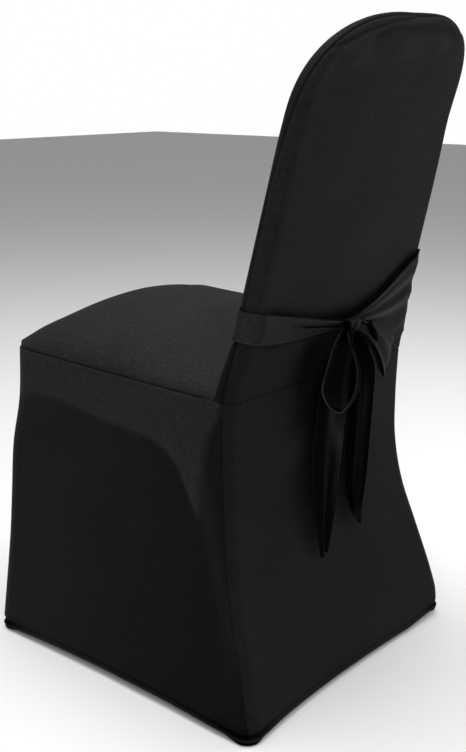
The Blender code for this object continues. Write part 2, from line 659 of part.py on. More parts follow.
def main():
    clear_scene()
    parts = bpy.data.collections.new(COLLECTION)
    bpy.context.scene.collection.children.link(parts)
    cloth = material("stretch_knit", (0.011, 0.011, 0.012), 0.78)
    satin = material("sash_knit", (0.009, 0.009, 0.010), 0.62)
    make_skirt(cloth, parts)
    make_body(cloth, parts)
    make_pockets(cloth, parts)
    make_sash(satin, parts)


main()
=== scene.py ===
"""Black stretch cover over a banquet chair, with a sash tied in a bow behind its back.

Every piece of cloth is a surface worked out on a grid, with its seams, creases and hems as
small moves along the surface's normal. Metres, Z up, the chair's front at -Y, floor at Z = 0.
"""

import bmesh
import bpy
import numpy as np
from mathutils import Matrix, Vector


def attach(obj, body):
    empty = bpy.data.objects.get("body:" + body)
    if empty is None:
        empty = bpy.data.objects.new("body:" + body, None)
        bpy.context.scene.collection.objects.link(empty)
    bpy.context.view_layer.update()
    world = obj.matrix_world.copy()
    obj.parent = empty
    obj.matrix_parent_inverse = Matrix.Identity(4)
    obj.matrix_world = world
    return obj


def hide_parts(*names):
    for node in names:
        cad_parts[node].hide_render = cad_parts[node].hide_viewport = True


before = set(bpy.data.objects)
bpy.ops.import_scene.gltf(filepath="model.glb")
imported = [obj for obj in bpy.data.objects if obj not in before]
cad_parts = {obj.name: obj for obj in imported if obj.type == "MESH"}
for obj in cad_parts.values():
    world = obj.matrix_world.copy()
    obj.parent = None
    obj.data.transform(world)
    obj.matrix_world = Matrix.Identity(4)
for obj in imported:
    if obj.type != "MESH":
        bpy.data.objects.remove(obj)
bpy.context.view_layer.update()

# Floor, backdrop and lights: name, place, aim, side of its square and watts
FLOOR_REACH = 12.0
FLOOR_COLOUR = (0.82, 0.82, 0.82)
BACKDROP_LIGHT = 0.34
LIGHTS = (
    ("overhead_light", (0.2, -0.2, 3.0), (0.0, 0.0, 0.3), 2.4, 86.0),
    ("fill_light", (2.1, 1.8, 1.9), (0.0, 0.0, 0.45), 2.0, 34.0),
    ("rear_light", (-2.0, 1.4, 1.4), (0.0, 0.1, 0.6), 1.0, 20.0),
)

# The photograph's view
VIEW_AZIMUTH = 130.6
VIEW_ELEVATION = 15.54
VIEW_DISTANCE = 1.667
VIEW_LENS = 51.25
SENSOR_WIDTH = 36.0
VIEW_AIM = (-0.0092, -0.0212, 0.415)

# How high the knit's stitches stand, and how strongly they show
STITCH_HEIGHT = 0.00022
STITCH_STRENGTH = 0.6

# Cloth
CLOTH = 0.0012
SASH_CLOTH = 0.0011
SEAM_DEPTH = 0.0016
SEAM_WIDTH = 0.0011
LIP_HEIGHT = 0.00045
LIP_AT = 0.0034
LIP_WIDTH = 0.0016
# How many times its cut size the cloth is stretched to over the chair
STRETCH = 1.10

# Seat and skirt, as in the solids
SEAM_Z = 0.4535
SEAM_FRONT_Z = 0.4650
HEM_Z = 0.007
EDGE_RADIUS = 0.006
EDGE_DEG = 45.0
SEAT_FRONT_Y = -0.2836
SEAT_REAR_Y = 0.1595
SEAT_CROWN = 0.0750
SEAT_RUN_SIDE = 0.2165
SEAT_RUN_FRONT = 0.112
SEAT_SIDE_POWER = 0.47
SEAT_FRONT_POWER = 0.61
SEAT_FALL = 0.28
SEAT_FALL_Y = -0.062
SEAT_SPINE_FRONT = -0.187
RAIL_TOP_DEG = -40.0
DENT_RUN = 0.030
DENT_DROP = 0.050
# The cushion's firm front corners: where, how wide and how high
CORNER_AT = (0.188, -0.252)
CORNER_REACH = 0.036
CORNER_RISE = 0.0130
# Places of the corner seams round the half, and of the rear's middle
FRONT_SEAM_P = 1.5
REAR_SEAM_P = 3.5
REAR_MIDDLE_P = 5.0
# The level at which distances round the skirt are walked
WALK_LEVEL = 0.22
# The hem: height of its band and of the groove over it
HEM_BAND = 0.0085
HEM_GROOVE = 0.0095

# Back, as in the solids
BACK_RADIUS = 0.0175
BACK_HALF = 0.1998
BACK_TAPER = 0.056
WAIST_FLARE = 0.0106
WAIST_FLARE_RISE = 0.050
BACK_MID_Y = 0.1420
BACK_LEAN = 0.2305
BACK_DATUM_Z = 0.45
BACK_CURVE = 0.0023
SHOULDER_Z = 0.811
TOP_Z = 0.9405
TOP_POWER = 2.75
SWEEP_Z = 0.785
SWEEP = 1.06
REAR_CROWN = 0.003
CUSHION_BULGE = 0.010
# How the far half differs: wider, squarer and higher at its shoulder
FAR_WIDER = 0.0036
FAR_SQUARER = 0.35
FAR_RISE = 0.0018
# Share of the outline from the waist to the shoulder, the rest going over the top
SIDE_SHARE = 0.60
# Height over which the waist's rise towards the seat fades out
LIFT_RUN = 0.12
# How far below the top the panels' middle columns end
SPINE_DROP = 0.115
# Places round the back's edge, from the seam to the panel's face
EDGE_SHARES = (0, 0.02, 0.045, 0.075, 0.11, 0.15, 0.2, 0.27, 0.36, 0.46, 0.56, 0.67, 0.78, 0.89, 1)

# Rows and columns of the grids
SKIRT_LEVELS = 140
CURL_LEVELS = 8
FRONT_COLUMNS = 70
SIDE_COLUMNS = 160
REAR_COLUMNS = 92
BACK_ROWS = 240
INNER_BACK_ROWS = 160
BACK_COLUMNS = 60
SEAT_COLUMNS = 70
SASH_BAND_ROWS = 60

# The skirt's outline at each level, one half: rear corner, front corner, inward bow between legs
SKIRT_COLUMNS = (
    "level", "rear_half", "rear_y", "rear_r", "seam_deg",
    "front_half", "front_y", "front_r", "bow", "rear_bow",
)
SKIRT_ROWS = (
    (0.0000, 0.2620, 0.2365, 0.0250, 45.0, 0.2640, -0.2940, 0.0250, 0.0050, 0.0105),
    (0.0850, 0.2465, 0.2160, 0.0220, 40.0, 0.2545, -0.2900, 0.0270, 0.0085, 0.0105),
    (0.1650, 0.2350, 0.1895, 0.0210, 38.0, 0.2435, -0.2890, 0.0280, 0.0090, 0.0090),
    (0.2300, 0.2220, 0.1710, 0.0200, 35.0, 0.2372, -0.2884, 0.0290, 0.0080, 0.0080),
    (0.3100, 0.2130, 0.1590, 0.0195, 32.0, 0.2320, -0.2855, 0.0320, 0.0045, 0.0045),
    (0.3760, 0.2106, 0.1577, 0.0185, 26.0, 0.2192, -0.2866, 0.0400, 0.0000, 0.0000),
    (0.4535, 0.2104, 0.1595, 0.0175, 18.0, 0.2168, -0.2854, 0.0450, -0.0015, -0.0015),
)

# The seam up the side of the back, as degrees round the edge: 0 is straight out, 90 the rear face
BACK_SEAM_COLUMNS = ("z", "degrees")
BACK_SEAM_ROWS = (
    (0.4535, 18.0),
    (0.5000, 2.0),
    (0.6000, -10.0),
    (0.7600, -10.0),
    (0.8500, 16.0),
    (0.9000, 32.0),
    (0.9440, 40.0),
)

# Lower border of the cloth that lies on the chair's rail, along the side
RAIL_COLUMNS = ("y", "z")
RAIL_ROWS = (
    (-0.262, 0.380),
    (-0.240, 0.394),
    (-0.215, 0.400),
    (-0.177, 0.399),
    (-0.118, 0.393),
    (-0.066, 0.387),
    (-0.016, 0.383),
    (0.020, 0.379),
    (0.045, 0.369),
    (0.062, 0.356),
    (0.076, 0.339),
    (0.088, 0.316),
    (0.106, 0.288),
)
# Rear border of that cloth, where the side turns to the back
RAIL_END_COLUMNS = ("z", "y")
RAIL_END_ROWS = (
    (0.280, 0.112),
    (0.345, 0.112),
    (0.395, 0.120),
    (0.446, 0.143),
    (0.466, 0.150),
)
# Middle of the rear leg under the cloth, from the rail down
LEG_COLUMNS = ("z", "y")
LEG_ROWS = (
    (0.060, 0.216),
    (0.078, 0.211),
    (0.151, 0.183),
    (0.223, 0.150),
    (0.287, 0.126),
    (0.345, 0.110),
    (0.400, 0.112),
    (0.453, 0.120),
)

# Creases at the top of the rear panel, as x and z: the rim line, the hollow under it and the swelling below
RIM_ROWS = (
    (-0.030, 0.9360),
    (0.002, 0.9350),
    (0.051, 0.9283),
    (0.097, 0.9180),
    (0.116, 0.9108),
    (0.150, 0.8960),
)
HOLLOW_ROWS = ((-0.110, 0.9180), (-0.039, 0.9190), (0.010, 0.9190), (0.045, 0.9180), (0.085, 0.9060))
SWELLING_ROWS = ((-0.085, 0.9010), (-0.034, 0.8980), (0.022, 0.8930), (0.074, 0.8880), (0.127, 0.8840))

# The sash round the back: place round it, top edge, bottom edge
SASH_COLUMNS = ("s", "top", "bottom")
SASH_ROWS = (
    (-0.05, 0.5340, 0.5240),
    (0.35, 0.5482, 0.5240),
    (0.65, 0.5595, 0.5250),
    (1.00, 0.5720, 0.5310),
    (1.50, 0.5765, 0.5365),
    (2.00, 0.5800, 0.5330),
    (3.00, 0.5920, 0.5150),
    (4.00, 0.6080, 0.4950),
    (4.50, 0.6120, 0.4880),
    (5.00, 0.6090, 0.4800),
    (5.20, 0.5900, 0.4710),
    (5.45, 0.5620, 0.4880),
    (5.84, 0.5320, 0.5210),
)
SASH_CLEARANCE = 0.0016
# Places once round the back, as the sash's rows count them
SASH_TURN = 6
# How deep a pleat may sink below the sash's clearance
PLEAT_DEPTH = 0.0014
KNOT_CENTRE = (-0.0170, 0.1930, 0.5290)
KNOT_HALF = (0.0150, 0.0095, 0.0110)

# Ribbons of the bow: front edge or middle, width, direction across, depth of the lengthwise fold
RIBBON_COLUMNS = ("place", "x", "y", "z", "width", "across_x", "across_y", "across_z", "fold")
LOOP_LEFT_ROWS = (
    (-0.0010, 0.1965, 0.5200, 0.010, -0.70, -0.50, -0.10, 0.000),
    (-0.0045, 0.1990, 0.4995, 0.017, -0.85, -0.42, -0.15, 0.001),
    (-0.0150, 0.2000, 0.4750, 0.028, -0.85, -0.40, -0.20, 0.002),
    (-0.0210, 0.2000, 0.4480, 0.034, -0.85, -0.40, -0.20, 0.001),
    (-0.0110, 0.2000, 0.4210, 0.036, -0.85, -0.40, -0.20, 0.000),
    (0.0160, 0.2000, 0.4070, 0.036, -0.85, -0.40, -0.20, 0.000),
    (0.0450, 0.2000, 0.4230, 0.036, -0.85, -0.40, -0.20, 0.000),
    (0.0600, 0.2000, 0.4500, 0.034, -0.85, -0.40, -0.20, 0.001),
    (0.0490, 0.2000, 0.4800, 0.028, -0.85, -0.40, -0.20, 0.002),
    (0.0330, 0.1980, 0.5080, 0.020, -0.80, -0.40, -0.15, 0.002),
    (0.0080, 0.1958, 0.5275, 0.009, -0.60, -0.40, 0.10, 0.000),
)
LOOP_RIGHT_ROWS = (
    (-0.0334, 0.1970, 0.5250, 0.012, 0.15, 0.05, -0.98, 0.001),
    (-0.0640, 0.1985, 0.5110, 0.028, 0.10, 0.05, -0.99, 0.003),
    (-0.0960, 0.1960, 0.4880, 0.044, 0.20, 0.02, -0.97, 0.003),
    (-0.1220, 0.1900, 0.4640, 0.058, 0.33, 0.00, -0.94, 0.001),
    (-0.1300, 0.1840, 0.4560, 0.061, 0.35, 0.00, -0.93, 0.000),
    (-0.1160, 0.1826, 0.4671, 0.056, 0.33, 0.00, -0.94, 0.000),
    (-0.0870, 0.1855, 0.4910, 0.040, 0.20, 0.00, -0.97, 0.001),
    (-0.0560, 0.1895, 0.5160, 0.022, 0.10, 0.00, -0.99, 0.001),
    (-0.0339, 0.1915, 0.5320, 0.011, 0.10, 0.00, -0.99, 0.000),
)
TAIL_LEFT_ROWS = (
    (-0.0225, 0.1890, 0.5185, 0.012, 1.0, 0.00, 0.00, 0.000),
    (-0.0170, 0.1835, 0.4770, 0.034, 1.0, 0.00, 0.00, 0.002),
    (-0.0088, 0.1745, 0.4340, 0.064, 1.0, 0.00, 0.00, 0.005),
    (-0.0060, 0.1720, 0.3915, 0.074, 1.0, 0.00, 0.00, 0.005),
    (0.0027, 0.1720, 0.3315, 0.076, 1.0, 0.00, 0.00, 0.006),
    (0.0132, 0.1760, 0.2627, 0.058, 1.0, 0.00, 0.00, 0.006),
    (0.0210, 0.1810, 0.2149, 0.036, 1.0, 0.00, 0.00, 0.004),
    (0.0252, 0.1850, 0.1856, 0.017, 1.0, 0.00, 0.00, 0.002),
)
TAIL_RIGHT_ROWS = (
    (-0.0285, 0.1862, 0.5165, 0.010, 1.0, 0.00, 0.00, 0.000),
    (-0.0560, 0.1770, 0.4830, 0.052, 1.0, 0.00, 0.00, 0.002),
    (-0.0800, 0.1720, 0.4410, 0.070, 1.0, 0.00, 0.00, 0.003),
    (-0.0830, 0.1700, 0.3905, 0.070, 1.0, 0.00, 0.00, 0.004),
    (-0.0770, 0.1700, 0.3355, 0.070, 1.0, 0.00, 0.00, 0.005),
    (-0.0680, 0.1730, 0.2760, 0.062, 1.0, 0.00, 0.00, 0.005),
    (-0.0640, 0.1780, 0.2330, 0.034, 1.0, 0.00, 0.00, 0.004),
    (-0.0700, 0.1815, 0.2050, 0.010, 1.0, 0.00, 0.00, 0.001),
)

# The least lightness, the deepest painted shade, of any piece, and of the sash's pieces but its left loop
DARKEST = -0.75
DARKEST_SASH = -0.1

# Foot pockets
POCKET_GAP = 0.0012
POCKET_RISE = 0.034
POCKET_SPAN = 0.052
POCKET_ROUND = 0.005
POCKET_SOLE = 0.018
# How far the pocket's inner walls are drawn to its inner corner, and that corner to the outer one
POCKET_WALL_PULL = 0.62
POCKET_CORNER_PULL = 0.12


def smooth_table(rows, columns, at):
    """Each column read at the given places, along a cubic through the rows.

    The cubic's slope at a row is the slope between its neighbours.
    """
    table = np.array(rows, float)
    x = table[:, 0]
    slope = np.gradient(table, x, axis=0)
    at = np.clip(np.asarray(at, float), x[0], x[-1])
    k = np.clip(np.searchsorted(x, at, side="right") - 1, 0, len(x) - 2)
    step = (x[k + 1] - x[k])[..., None]
    t = ((at - x[k])[..., None]) / step
    value = (
        (2 * t**3 - 3 * t**2 + 1) * table[k]
        + (t**3 - 2 * t**2 + t) * step * slope[k]
        + (3 * t**2 - 2 * t**3) * table[k + 1]
        + (t**3 - t**2) * step * slope[k + 1]
    )
    return {name: value[..., i] for i, name in enumerate(columns)}


def soft(t):
    """0 to 1 with level ends: three times the square less twice the cube."""
    t = np.clip(t, 0.0, 1.0)
    return t * t * (3.0 - 2.0 * t)


def hump(distance, width):
    """1 at no distance, falling off as a bell of that width."""
    return np.exp(-((distance / width) ** 2))


def eased(t, width):
    """t where it is above 0 and 0 below, rounded over that width."""
    return 0.5 * (t + np.sqrt(t * t + width**2))


def unit(vectors):
    return vectors / np.maximum(np.linalg.norm(vectors, axis=-1, keepdims=True), 1e-12)


def crowded(count, pull=1.8):
    """Places from 0 to 1 that crowd towards both ends: a hyperbolic tangent over the range."""
    x = np.linspace(-1, 1, count)
    return 0.5 + 0.5 * np.tanh(pull * x) / np.tanh(pull)


def normals_of(grid):
    """The surface's direction at each point: the cross product of its steps along columns and rows."""
    return unit(np.cross(np.gradient(grid, axis=1), np.gradient(grid, axis=0)))


def lengths(grid, axis):
    """Distance walked along the grid from its first line, in metres."""
    steps = np.linalg.norm(np.diff(grid, axis=axis), axis=-1)
    zero = np.zeros_like(np.take(steps, [0], axis))
    return np.concatenate([zero, np.cumsum(steps, axis=axis)], axis)


def edge_distances(grid):
    """Distance along the cloth from each point to the grid's bottom, top, start and end lines."""
    up = lengths(grid, 0)
    across = lengths(grid, 1)
    return {"bottom": up, "top": up[-1:] - up, "start": across, "end": across[:, -1:] - across}


def seam(distance):
    """Height beside a sewn seam: a bell-shaped groove at the stitches and a low bell-shaped lip beside it."""
    return LIP_HEIGHT * hump(distance - LIP_AT, LIP_WIDTH) - SEAM_DEPTH * hump(distance, SEAM_WIDTH)


def wander(grid, wave, amplitude, phase=0.0):
    """Slow unevenness of stretched cloth: a sum of three slanting sine waves of about that wavelength."""
    x, y, z = grid[..., 0], grid[..., 1], grid[..., 2]
    turn = 2 * np.pi / wave
    total = np.sin(turn * (x + 0.6 * z) + phase)
    total = total + 0.7 * np.sin(turn * (0.8 * y - 1.1 * z) * 0.77 + 1.7 * phase)
    total = total + 0.5 * np.sin(turn * (0.9 * x + y + 0.3 * z) * 1.31 + 2.3)
    return amplitude * total / 2.2


# The skirt


def skirt_point(level, p, curl_deg=0.0):
    """A point of the skirt's outer face on the +X half, as in the solids.

    p runs round the half: 0 to 1 along the front from its middle, 1 to 2 round the front
    corner, 2 to 3 along the side, 3 to 4 round the rear corner, 4 to 5 to the rear's middle.
    curl_deg turns the top edge in over the seat cushion.
    """
    level, p, curl_deg = np.broadcast_arrays(*(np.asarray(v, float) for v in (level, p, curl_deg)))
    row = smooth_table(SKIRT_ROWS, SKIRT_COLUMNS, level)
    front_x = row["front_half"] - row["front_r"]
    front_y = row["front_y"] + row["front_r"]
    rear_x = row["rear_half"] - row["rear_r"]
    rear_y = row["rear_y"] - row["rear_r"]
    angle = np.radians(np.where(p < 2.5, np.clip(p - 2, -1, 0), np.clip(p - 3, 0, 1)) * 90)
    out = np.stack([np.cos(angle), np.sin(angle)], -1)
    along = np.clip(p, 0, 1) * (p < 1) + (p >= 1)
    side = np.clip(p - 2, 0, 1)
    radius = row["front_r"] + (row["rear_r"] - row["front_r"]) * side
    back = np.clip(p - 4, 0, 1)
    x = np.where(p < 1, along * front_x, np.where(p < 2, front_x, front_x + (rear_x - front_x) * side))
    x = np.where(p > 4, rear_x * (1 - back), x)
    y = np.where(p < 2, front_y, front_y + (rear_y - front_y) * side)
    x = x + radius * out[..., 0]
    y = y + radius * out[..., 1]
    straight = np.where(p < 1, 1 - along**2, np.where(p > 4, 1 - (1 - back) ** 2, 4 * side * (1 - side)))
    straight = np.where((p >= 1) & (p <= 2) | (p >= 3) & (p <= 4), 0.0, straight)
    bow = np.where(p > 4, row["rear_bow"], row["bow"]) * straight
    x = x - bow * out[..., 0]
    y = y - bow * out[..., 1]
    near_top = soft((level - (SEAM_Z - DENT_DROP)) / DENT_DROP)
    reach = np.clip(BACK_MID_Y - y, 0, BACK_RADIUS * np.sin(np.radians(-RAIL_TOP_DEG)))
    dent = BACK_RADIUS - np.sqrt(BACK_RADIUS**2 - reach**2)
    fade = 1 - soft((BACK_MID_Y - BACK_RADIUS - y) / DENT_RUN)
    x = x - dent * fade * near_top * (p > FRONT_SEAM_P) * (p < REAR_SEAM_P)
    cushion = soft((BACK_MID_Y - 0.016 - y) / DENT_RUN)
    turn = np.radians(curl_deg)
    inward = EDGE_RADIUS * (1 - np.cos(turn)) * cushion
    run = rear_y + row["rear_r"] - row["front_y"]
    lift = (SEAM_FRONT_Z - SEAM_Z) * np.clip((rear_y + row["rear_r"] - y) / run, 0, 1)
    z = level + lift * (level / SEAM_Z) ** 3
    lowered = EDGE_RADIUS * (np.sin(np.radians(EDGE_DEG)) - np.sin(turn))
    z = z - lowered * soft((level - SEAM_Z * 0.9) / (SEAM_Z * 0.1))
    return np.stack([x - inward * out[..., 0], y - inward * out[..., 1], z], -1)


def rear_seam_p(level):
    """Where the rear corner seam runs, as a place p round the half."""
    return 3 + smooth_table(SKIRT_ROWS, SKIRT_COLUMNS, level)["seam_deg"] / 90


def skirt_levels():
    """Levels and top-edge angles of the skirt's rows, hem first."""
    levels = HEM_Z + (SEAM_Z - HEM_Z) * crowded(SKIRT_LEVELS)
    curls = np.concatenate([np.zeros(SKIRT_LEVELS), np.linspace(0, EDGE_DEG, CURL_LEVELS + 1)[1:]])
    return np.concatenate([levels, np.full(CURL_LEVELS, SEAM_Z)]), curls


def walked(p_rough, count):
    """Places p that crowd towards both ends by the distance walked along the skirt at mid height."""
    line = skirt_point(WALK_LEVEL, p_rough)
    walk = np.concatenate([[0], np.cumsum(np.linalg.norm(np.diff(line, axis=0), axis=1))])
    return np.interp(crowded(count) * walk[-1], walk, p_rough)


def mirror_x(grid):
    return grid * np.array([-1.0, 1.0, 1.0])


def front_skirt():
    """Front panel: the skirt from one front corner seam to the other."""
    levels, curls = skirt_levels()
    half = walked(np.linspace(0, FRONT_SEAM_P, 601), FRONT_COLUMNS)
    p = half[half > 0]
    right = skirt_point(levels[:, None], p[None, :], curls[:, None])
    middle = skirt_point(levels[:, None], np.zeros((1, 1)), curls[:, None])
    return np.concatenate([mirror_x(right[:, ::-1]), middle, right], 1)


def side_skirt():
    """Left panel: the skirt from the front corner seam to the rear corner seam."""
    levels, curls = skirt_levels()
    q = walked(np.linspace(FRONT_SEAM_P, REAR_SEAM_P, 801), SIDE_COLUMNS)
    reach = (rear_seam_p(levels) - 3) / 0.5
    p = np.where(q[None, :] > 3, 3 + (q[None, :] - 3) * reach[:, None], q[None, :])
    return skirt_point(levels[:, None], p, curls[:, None])


def rear_skirt():
    """Rear panel: the skirt from one rear corner seam to the other."""
    levels, curls = skirt_levels()
    q = walked(np.linspace(REAR_SEAM_P, REAR_MIDDLE_P, 601), REAR_COLUMNS)
    start = rear_seam_p(levels)
    p = np.where(q[None, :] < 4, 4 - (4 - q[None, :]) / 0.5 * (4 - start[:, None]), q[None, :])
    half = skirt_point(levels[:, None], p, curls[:, None])
    return np.concatenate([half, mirror_x(half[:, -2::-1])], 1)


def inland(d):
    """0 at a panel's seams, rising to 1 some 25 mm from them."""
    return soft(np.minimum(np.minimum(d["start"], d["end"]), d["top"]) / 0.025)


def hem_relief(d):
    """Relief of the turned-up hem: a flat band 9 mm high, a groove above it and a rounded lower edge."""
    band = 0.0007 * (1 - soft((d["bottom"] - HEM_BAND) / 0.0015))
    stitches = -0.0006 * hump(d["bottom"] - HEM_GROOVE, 0.0009)
    return band + stitches - 0.0012 * hump(d["bottom"], 0.0012)


def beside_line(rows, x, z):
    """Distance above a line given by x and z, and 1 over the line's run, fading to 0 past its ends."""
    line = np.array(rows, float)
    slope = np.gradient(line[:, 1], line[:, 0])
    lean = np.interp(x, line[:, 0], slope)
    distance = (z - np.interp(x, line[:, 0], line[:, 1])) / np.sqrt(1 + lean**2)
    over = soft((x - line[0, 0]) / 0.045 + 0.5) * soft((line[-1, 0] - x) / 0.030 + 0.5)
    return distance, over


def rim_relief(grid):
    """Relief and painted light at the rear panel's top: bells for a crease, a lip, a hollow and a swelling,
    with a painted highlight on the lip, painted shade in the crease and the hollow, and the swelling painted
    lighter.
    """
    x, z = grid[..., 0], grid[..., 2]
    crease, over = beside_line(RIM_ROWS, x, z)
    relief = over * (0.0010 * hump(crease + 0.0042, 0.0026) - 0.0019 * hump(crease, 0.0012))
    brighter = 0.35 + 0.85 * soft((0.06 - x) / 0.09)
    light = over * (brighter * hump(crease + 0.0055, 0.0040) - 0.75 * hump(crease, 0.0014))
    hollow, over = beside_line(HOLLOW_ROWS, x, z)
    relief = relief - 0.0042 * over * hump(hollow, 0.0085)
    light = light - 0.34 * over * hump(hollow, 0.0070)
    swelling, over = beside_line(SWELLING_ROWS, x, z)
    uneven = 1 + 0.45 * np.sin(x * 2 * np.pi / 0.095 + 0.8)
    swell = over * uneven * hump(swelling, 0.0100)
    return relief + 0.0028 * swell, light + 0.20 * swell


def sash_press(grid):
    """How far the sash presses the rear panel in, in soft steps, and the bell of shade over its top edge."""
    x, z = grid[..., 0], grid[..., 2]
    half = back_half(z) - BACK_RADIUS
    share = x / half
    first, last = SASH_ROWS[0][0], SASH_ROWS[-1][0]
    near = smooth_table(SASH_ROWS, SASH_COLUMNS, first + eased(share - first, 0.10))
    far = smooth_table(SASH_ROWS, SASH_COLUMNS, last - eased(last - SASH_TURN - share, 0.10))
    over = soft((x + 0.050) / 0.060)
    row = {edge: far[edge] + (near[edge] - far[edge]) * over for edge in ("top", "bottom")}
    above = 1 - soft((z - row["top"] + 0.002) / 0.028)
    below = 1 - soft((row["bottom"] - z + 0.002) / 0.013)
    press = 0.0040 * above * below * soft((half + 0.006 - np.abs(x)) / 0.030)
    # The shade over the sash is widest beside the knot, and the bow shades the cloth on its left
    beside = hump(share + 0.26, 0.50)
    over_sash = np.clip(z - row["top"], 0, None)
    dark = (0.26 + 0.50 * beside) * hump(over_sash, 0.009 + 0.015 * beside) * (z > row["top"] - 0.004)
    return press * (1 - 0.6 * soft((share - 0.86) / 0.14)), dark * (1 - soft((share - 0.80) / 0.20))


def edge_press(grid):
    """How far the sash presses the cover's near edge in, in soft steps from the band's edges."""
    x, z = grid[..., 0], grid[..., 2]
    on_edge = soft((x - back_half(z) + BACK_RADIUS + 0.006) / 0.010)
    return 0.0020 * on_edge * soft((0.588 - z) / 0.014) * soft((z - 0.520) / 0.014)


def bow_shade(grid):
    """Shade of the bow on the cloth behind it, fading on its left and out below the loops."""
    x, z = grid[..., 0], grid[..., 2]
    beside = hump(np.clip(x - 0.054, 0, None), 0.022) * soft((x + 0.118) / 0.020)
    return 0.58 * beside * soft((0.535 - z) / 0.03) * soft((z - 0.345) / 0.06)


def near_corner(d, ends=("start", "end")):
    """1 at the panel's corner seams, fading to 0 some 80 mm from them."""
    nearest = np.minimum(*(d[e] for e in ends))
    return 1 - soft((nearest - 0.018) / 0.062)


def foot_relief(d):
    """Relief where the skirt goes round a foot: a soft groove above the hem, deepest at the corner."""
    return -0.0032 * near_corner(d) * hump(d["bottom"] - 0.0070, 0.0045)


def hem_highlight_and_shade(d):
    """Painted light of the hem: a painted highlight on its fold with a line of painted shade over it,
    stronger and wider near the corners, and fainter away from them.
    """
    fold = 0.75 * hump(d["bottom"] - 0.0006, 0.0012)
    dark = -0.70 * hump(d["bottom"] - 0.0058, 0.0042) - 0.30 * hump(d["bottom"] - 0.013, 0.0075)
    along = 0.30 * hump(d["bottom"] - 0.0030, 0.0016) - 0.26 * hump(d["bottom"] - 0.0080, 0.0022)
    near = near_corner(d)
    return near * (fold + dark) + (1 - near) * along


def taut_share(grid):
    """1 where the side's cloth lies on the chair's rail, cushion or rear leg, 0 where it hangs free."""
    y, z = grid[..., 1], grid[..., 2]
    rail = smooth_table(RAIL_ROWS, RAIL_COLUMNS, y)["z"]
    end = smooth_table(RAIL_END_ROWS, RAIL_END_COLUMNS, z)["y"]
    on_rail = soft((z - rail) / 0.011 + 0.5) * soft((end - y) / 0.020 + 0.5)
    leg = smooth_table(LEG_ROWS, LEG_COLUMNS, z)["y"]
    on_leg = 0.20 * hump(y - leg, 0.014) * soft((z - 0.05) / 0.08) * (1 - soft((z - 0.33) / 0.05))
    return np.clip(np.maximum(on_rail, on_leg), 0, 1)


def hem_arch(grid, rise=0.0050):
    """The panel with its hem raised between the feet, by a parabola that fades out 150 mm above it."""
    share = lengths(grid, 1)
    share = share / share[:, -1:]
    fade = (1 - np.clip((grid[..., 2] - HEM_Z) / 0.15, 0, 1)) ** 1.5
    arched = grid.copy()
    arched[..., 2] += rise * (1 - (2 * share - 1) ** 2) * fade
    return arched


def far_foot(grid):
    """The cloth at the rear feet: 7 mm in and up at the far one, 3 mm out to the rear at the near one."""
    x, y, z = grid[..., 0], grid[..., 1], grid[..., 2]
    pull = 0.0050 * (1 - soft((z - 0.004) / 0.05)) * soft((-x - 0.14) / 0.11) * soft((y - 0.12) / 0.11)
    near = 0.0026 * (1 - soft((z - 0.004) / 0.08)) * soft((x - 0.16) / 0.09) * soft((y - 0.16) / 0.07)
    return grid + np.stack([pull - 0.6 * near, near - pull, 1.4 * pull], -1)


# The back


def back_half(z):
    """Half width of the back over its edges' outermost line."""
    return BACK_HALF - BACK_TAPER * (z - BACK_DATUM_Z) + WAIST_FLARE * hump(z - SEAM_Z, WAIST_FLARE_RISE)


def back_mid(z):
    """Depth of the back's middle plane, which leans and curves back."""
    sweep = SWEEP * np.clip(z - SWEEP_Z, 0, None) ** 2
    up = z - BACK_DATUM_Z
    return BACK_MID_Y + BACK_LEAN * up + BACK_CURVE * up**2 + sweep


def back_outline(t, far):
    """The line of the edge circles' centres on one half, t from 0 at the waist to 1 at the top.

    It goes up the side, then over the top as a superellipse. On the far half the cloth stands
    up to 3.6 mm wider, and its shoulder is squarer and 1.8 mm higher. Returns x, z and the outward direction.
    """
    rise = np.clip(t / SIDE_SHARE, 0, 1)
    turn = np.clip((t - SIDE_SHARE) / (1 - SIDE_SHARE), 0, 1) * np.pi / 2
    z_side = SEAM_Z + (SHOULDER_Z - SEAM_Z) * rise
    half = back_half(SHOULDER_Z) - BACK_RADIUS
    height = TOP_Z - BACK_RADIUS - SHOULDER_Z
    power = 2.0 / (TOP_POWER + FAR_SQUARER * far)
    x = np.where(t <= SIDE_SHARE, back_half(z_side) - BACK_RADIUS, half * np.cos(turn) ** power)
    z = np.where(t <= SIDE_SHARE, z_side, SHOULDER_Z + height * np.sin(turn) ** power)
    x = x + FAR_WIDER * far * hump(z - 0.755, 0.105) * np.clip(x / 0.12, 0, 1)
    z = z + FAR_RISE * far * hump(x - 0.065, 0.040)
    x = np.where(t >= 1, 0.0, x)
    fine = np.gradient(np.stack([x, z], -1), axis=0)
    out = unit(np.stack([fine[:, 1], -fine[:, 0]], -1))
    out[0] = (1.0, 0.0)
    out[-1] = (0.0, 1.0)
    return x, z, out


def back_bulge(x, z):
    """How far the inner face stands forward of the edge, over the back's cushion."""
    across = np.clip(1 - (x / (back_half(z) - BACK_RADIUS + 1e-6)) ** 2, 0, 1)
    up = soft((z - SEAM_Z - 0.02) / 0.10) * soft((TOP_Z - z) / 0.10)
    return CUSHION_BULGE * across * up


def seam_slope(y):
    """How far the seat seam has risen above the waist at each depth."""
    return (SEAM_FRONT_Z - SEAM_Z) * np.clip((SEAT_REAR_Y - y) / (SEAT_REAR_Y - SEAT_FRONT_Y), 0, 1)


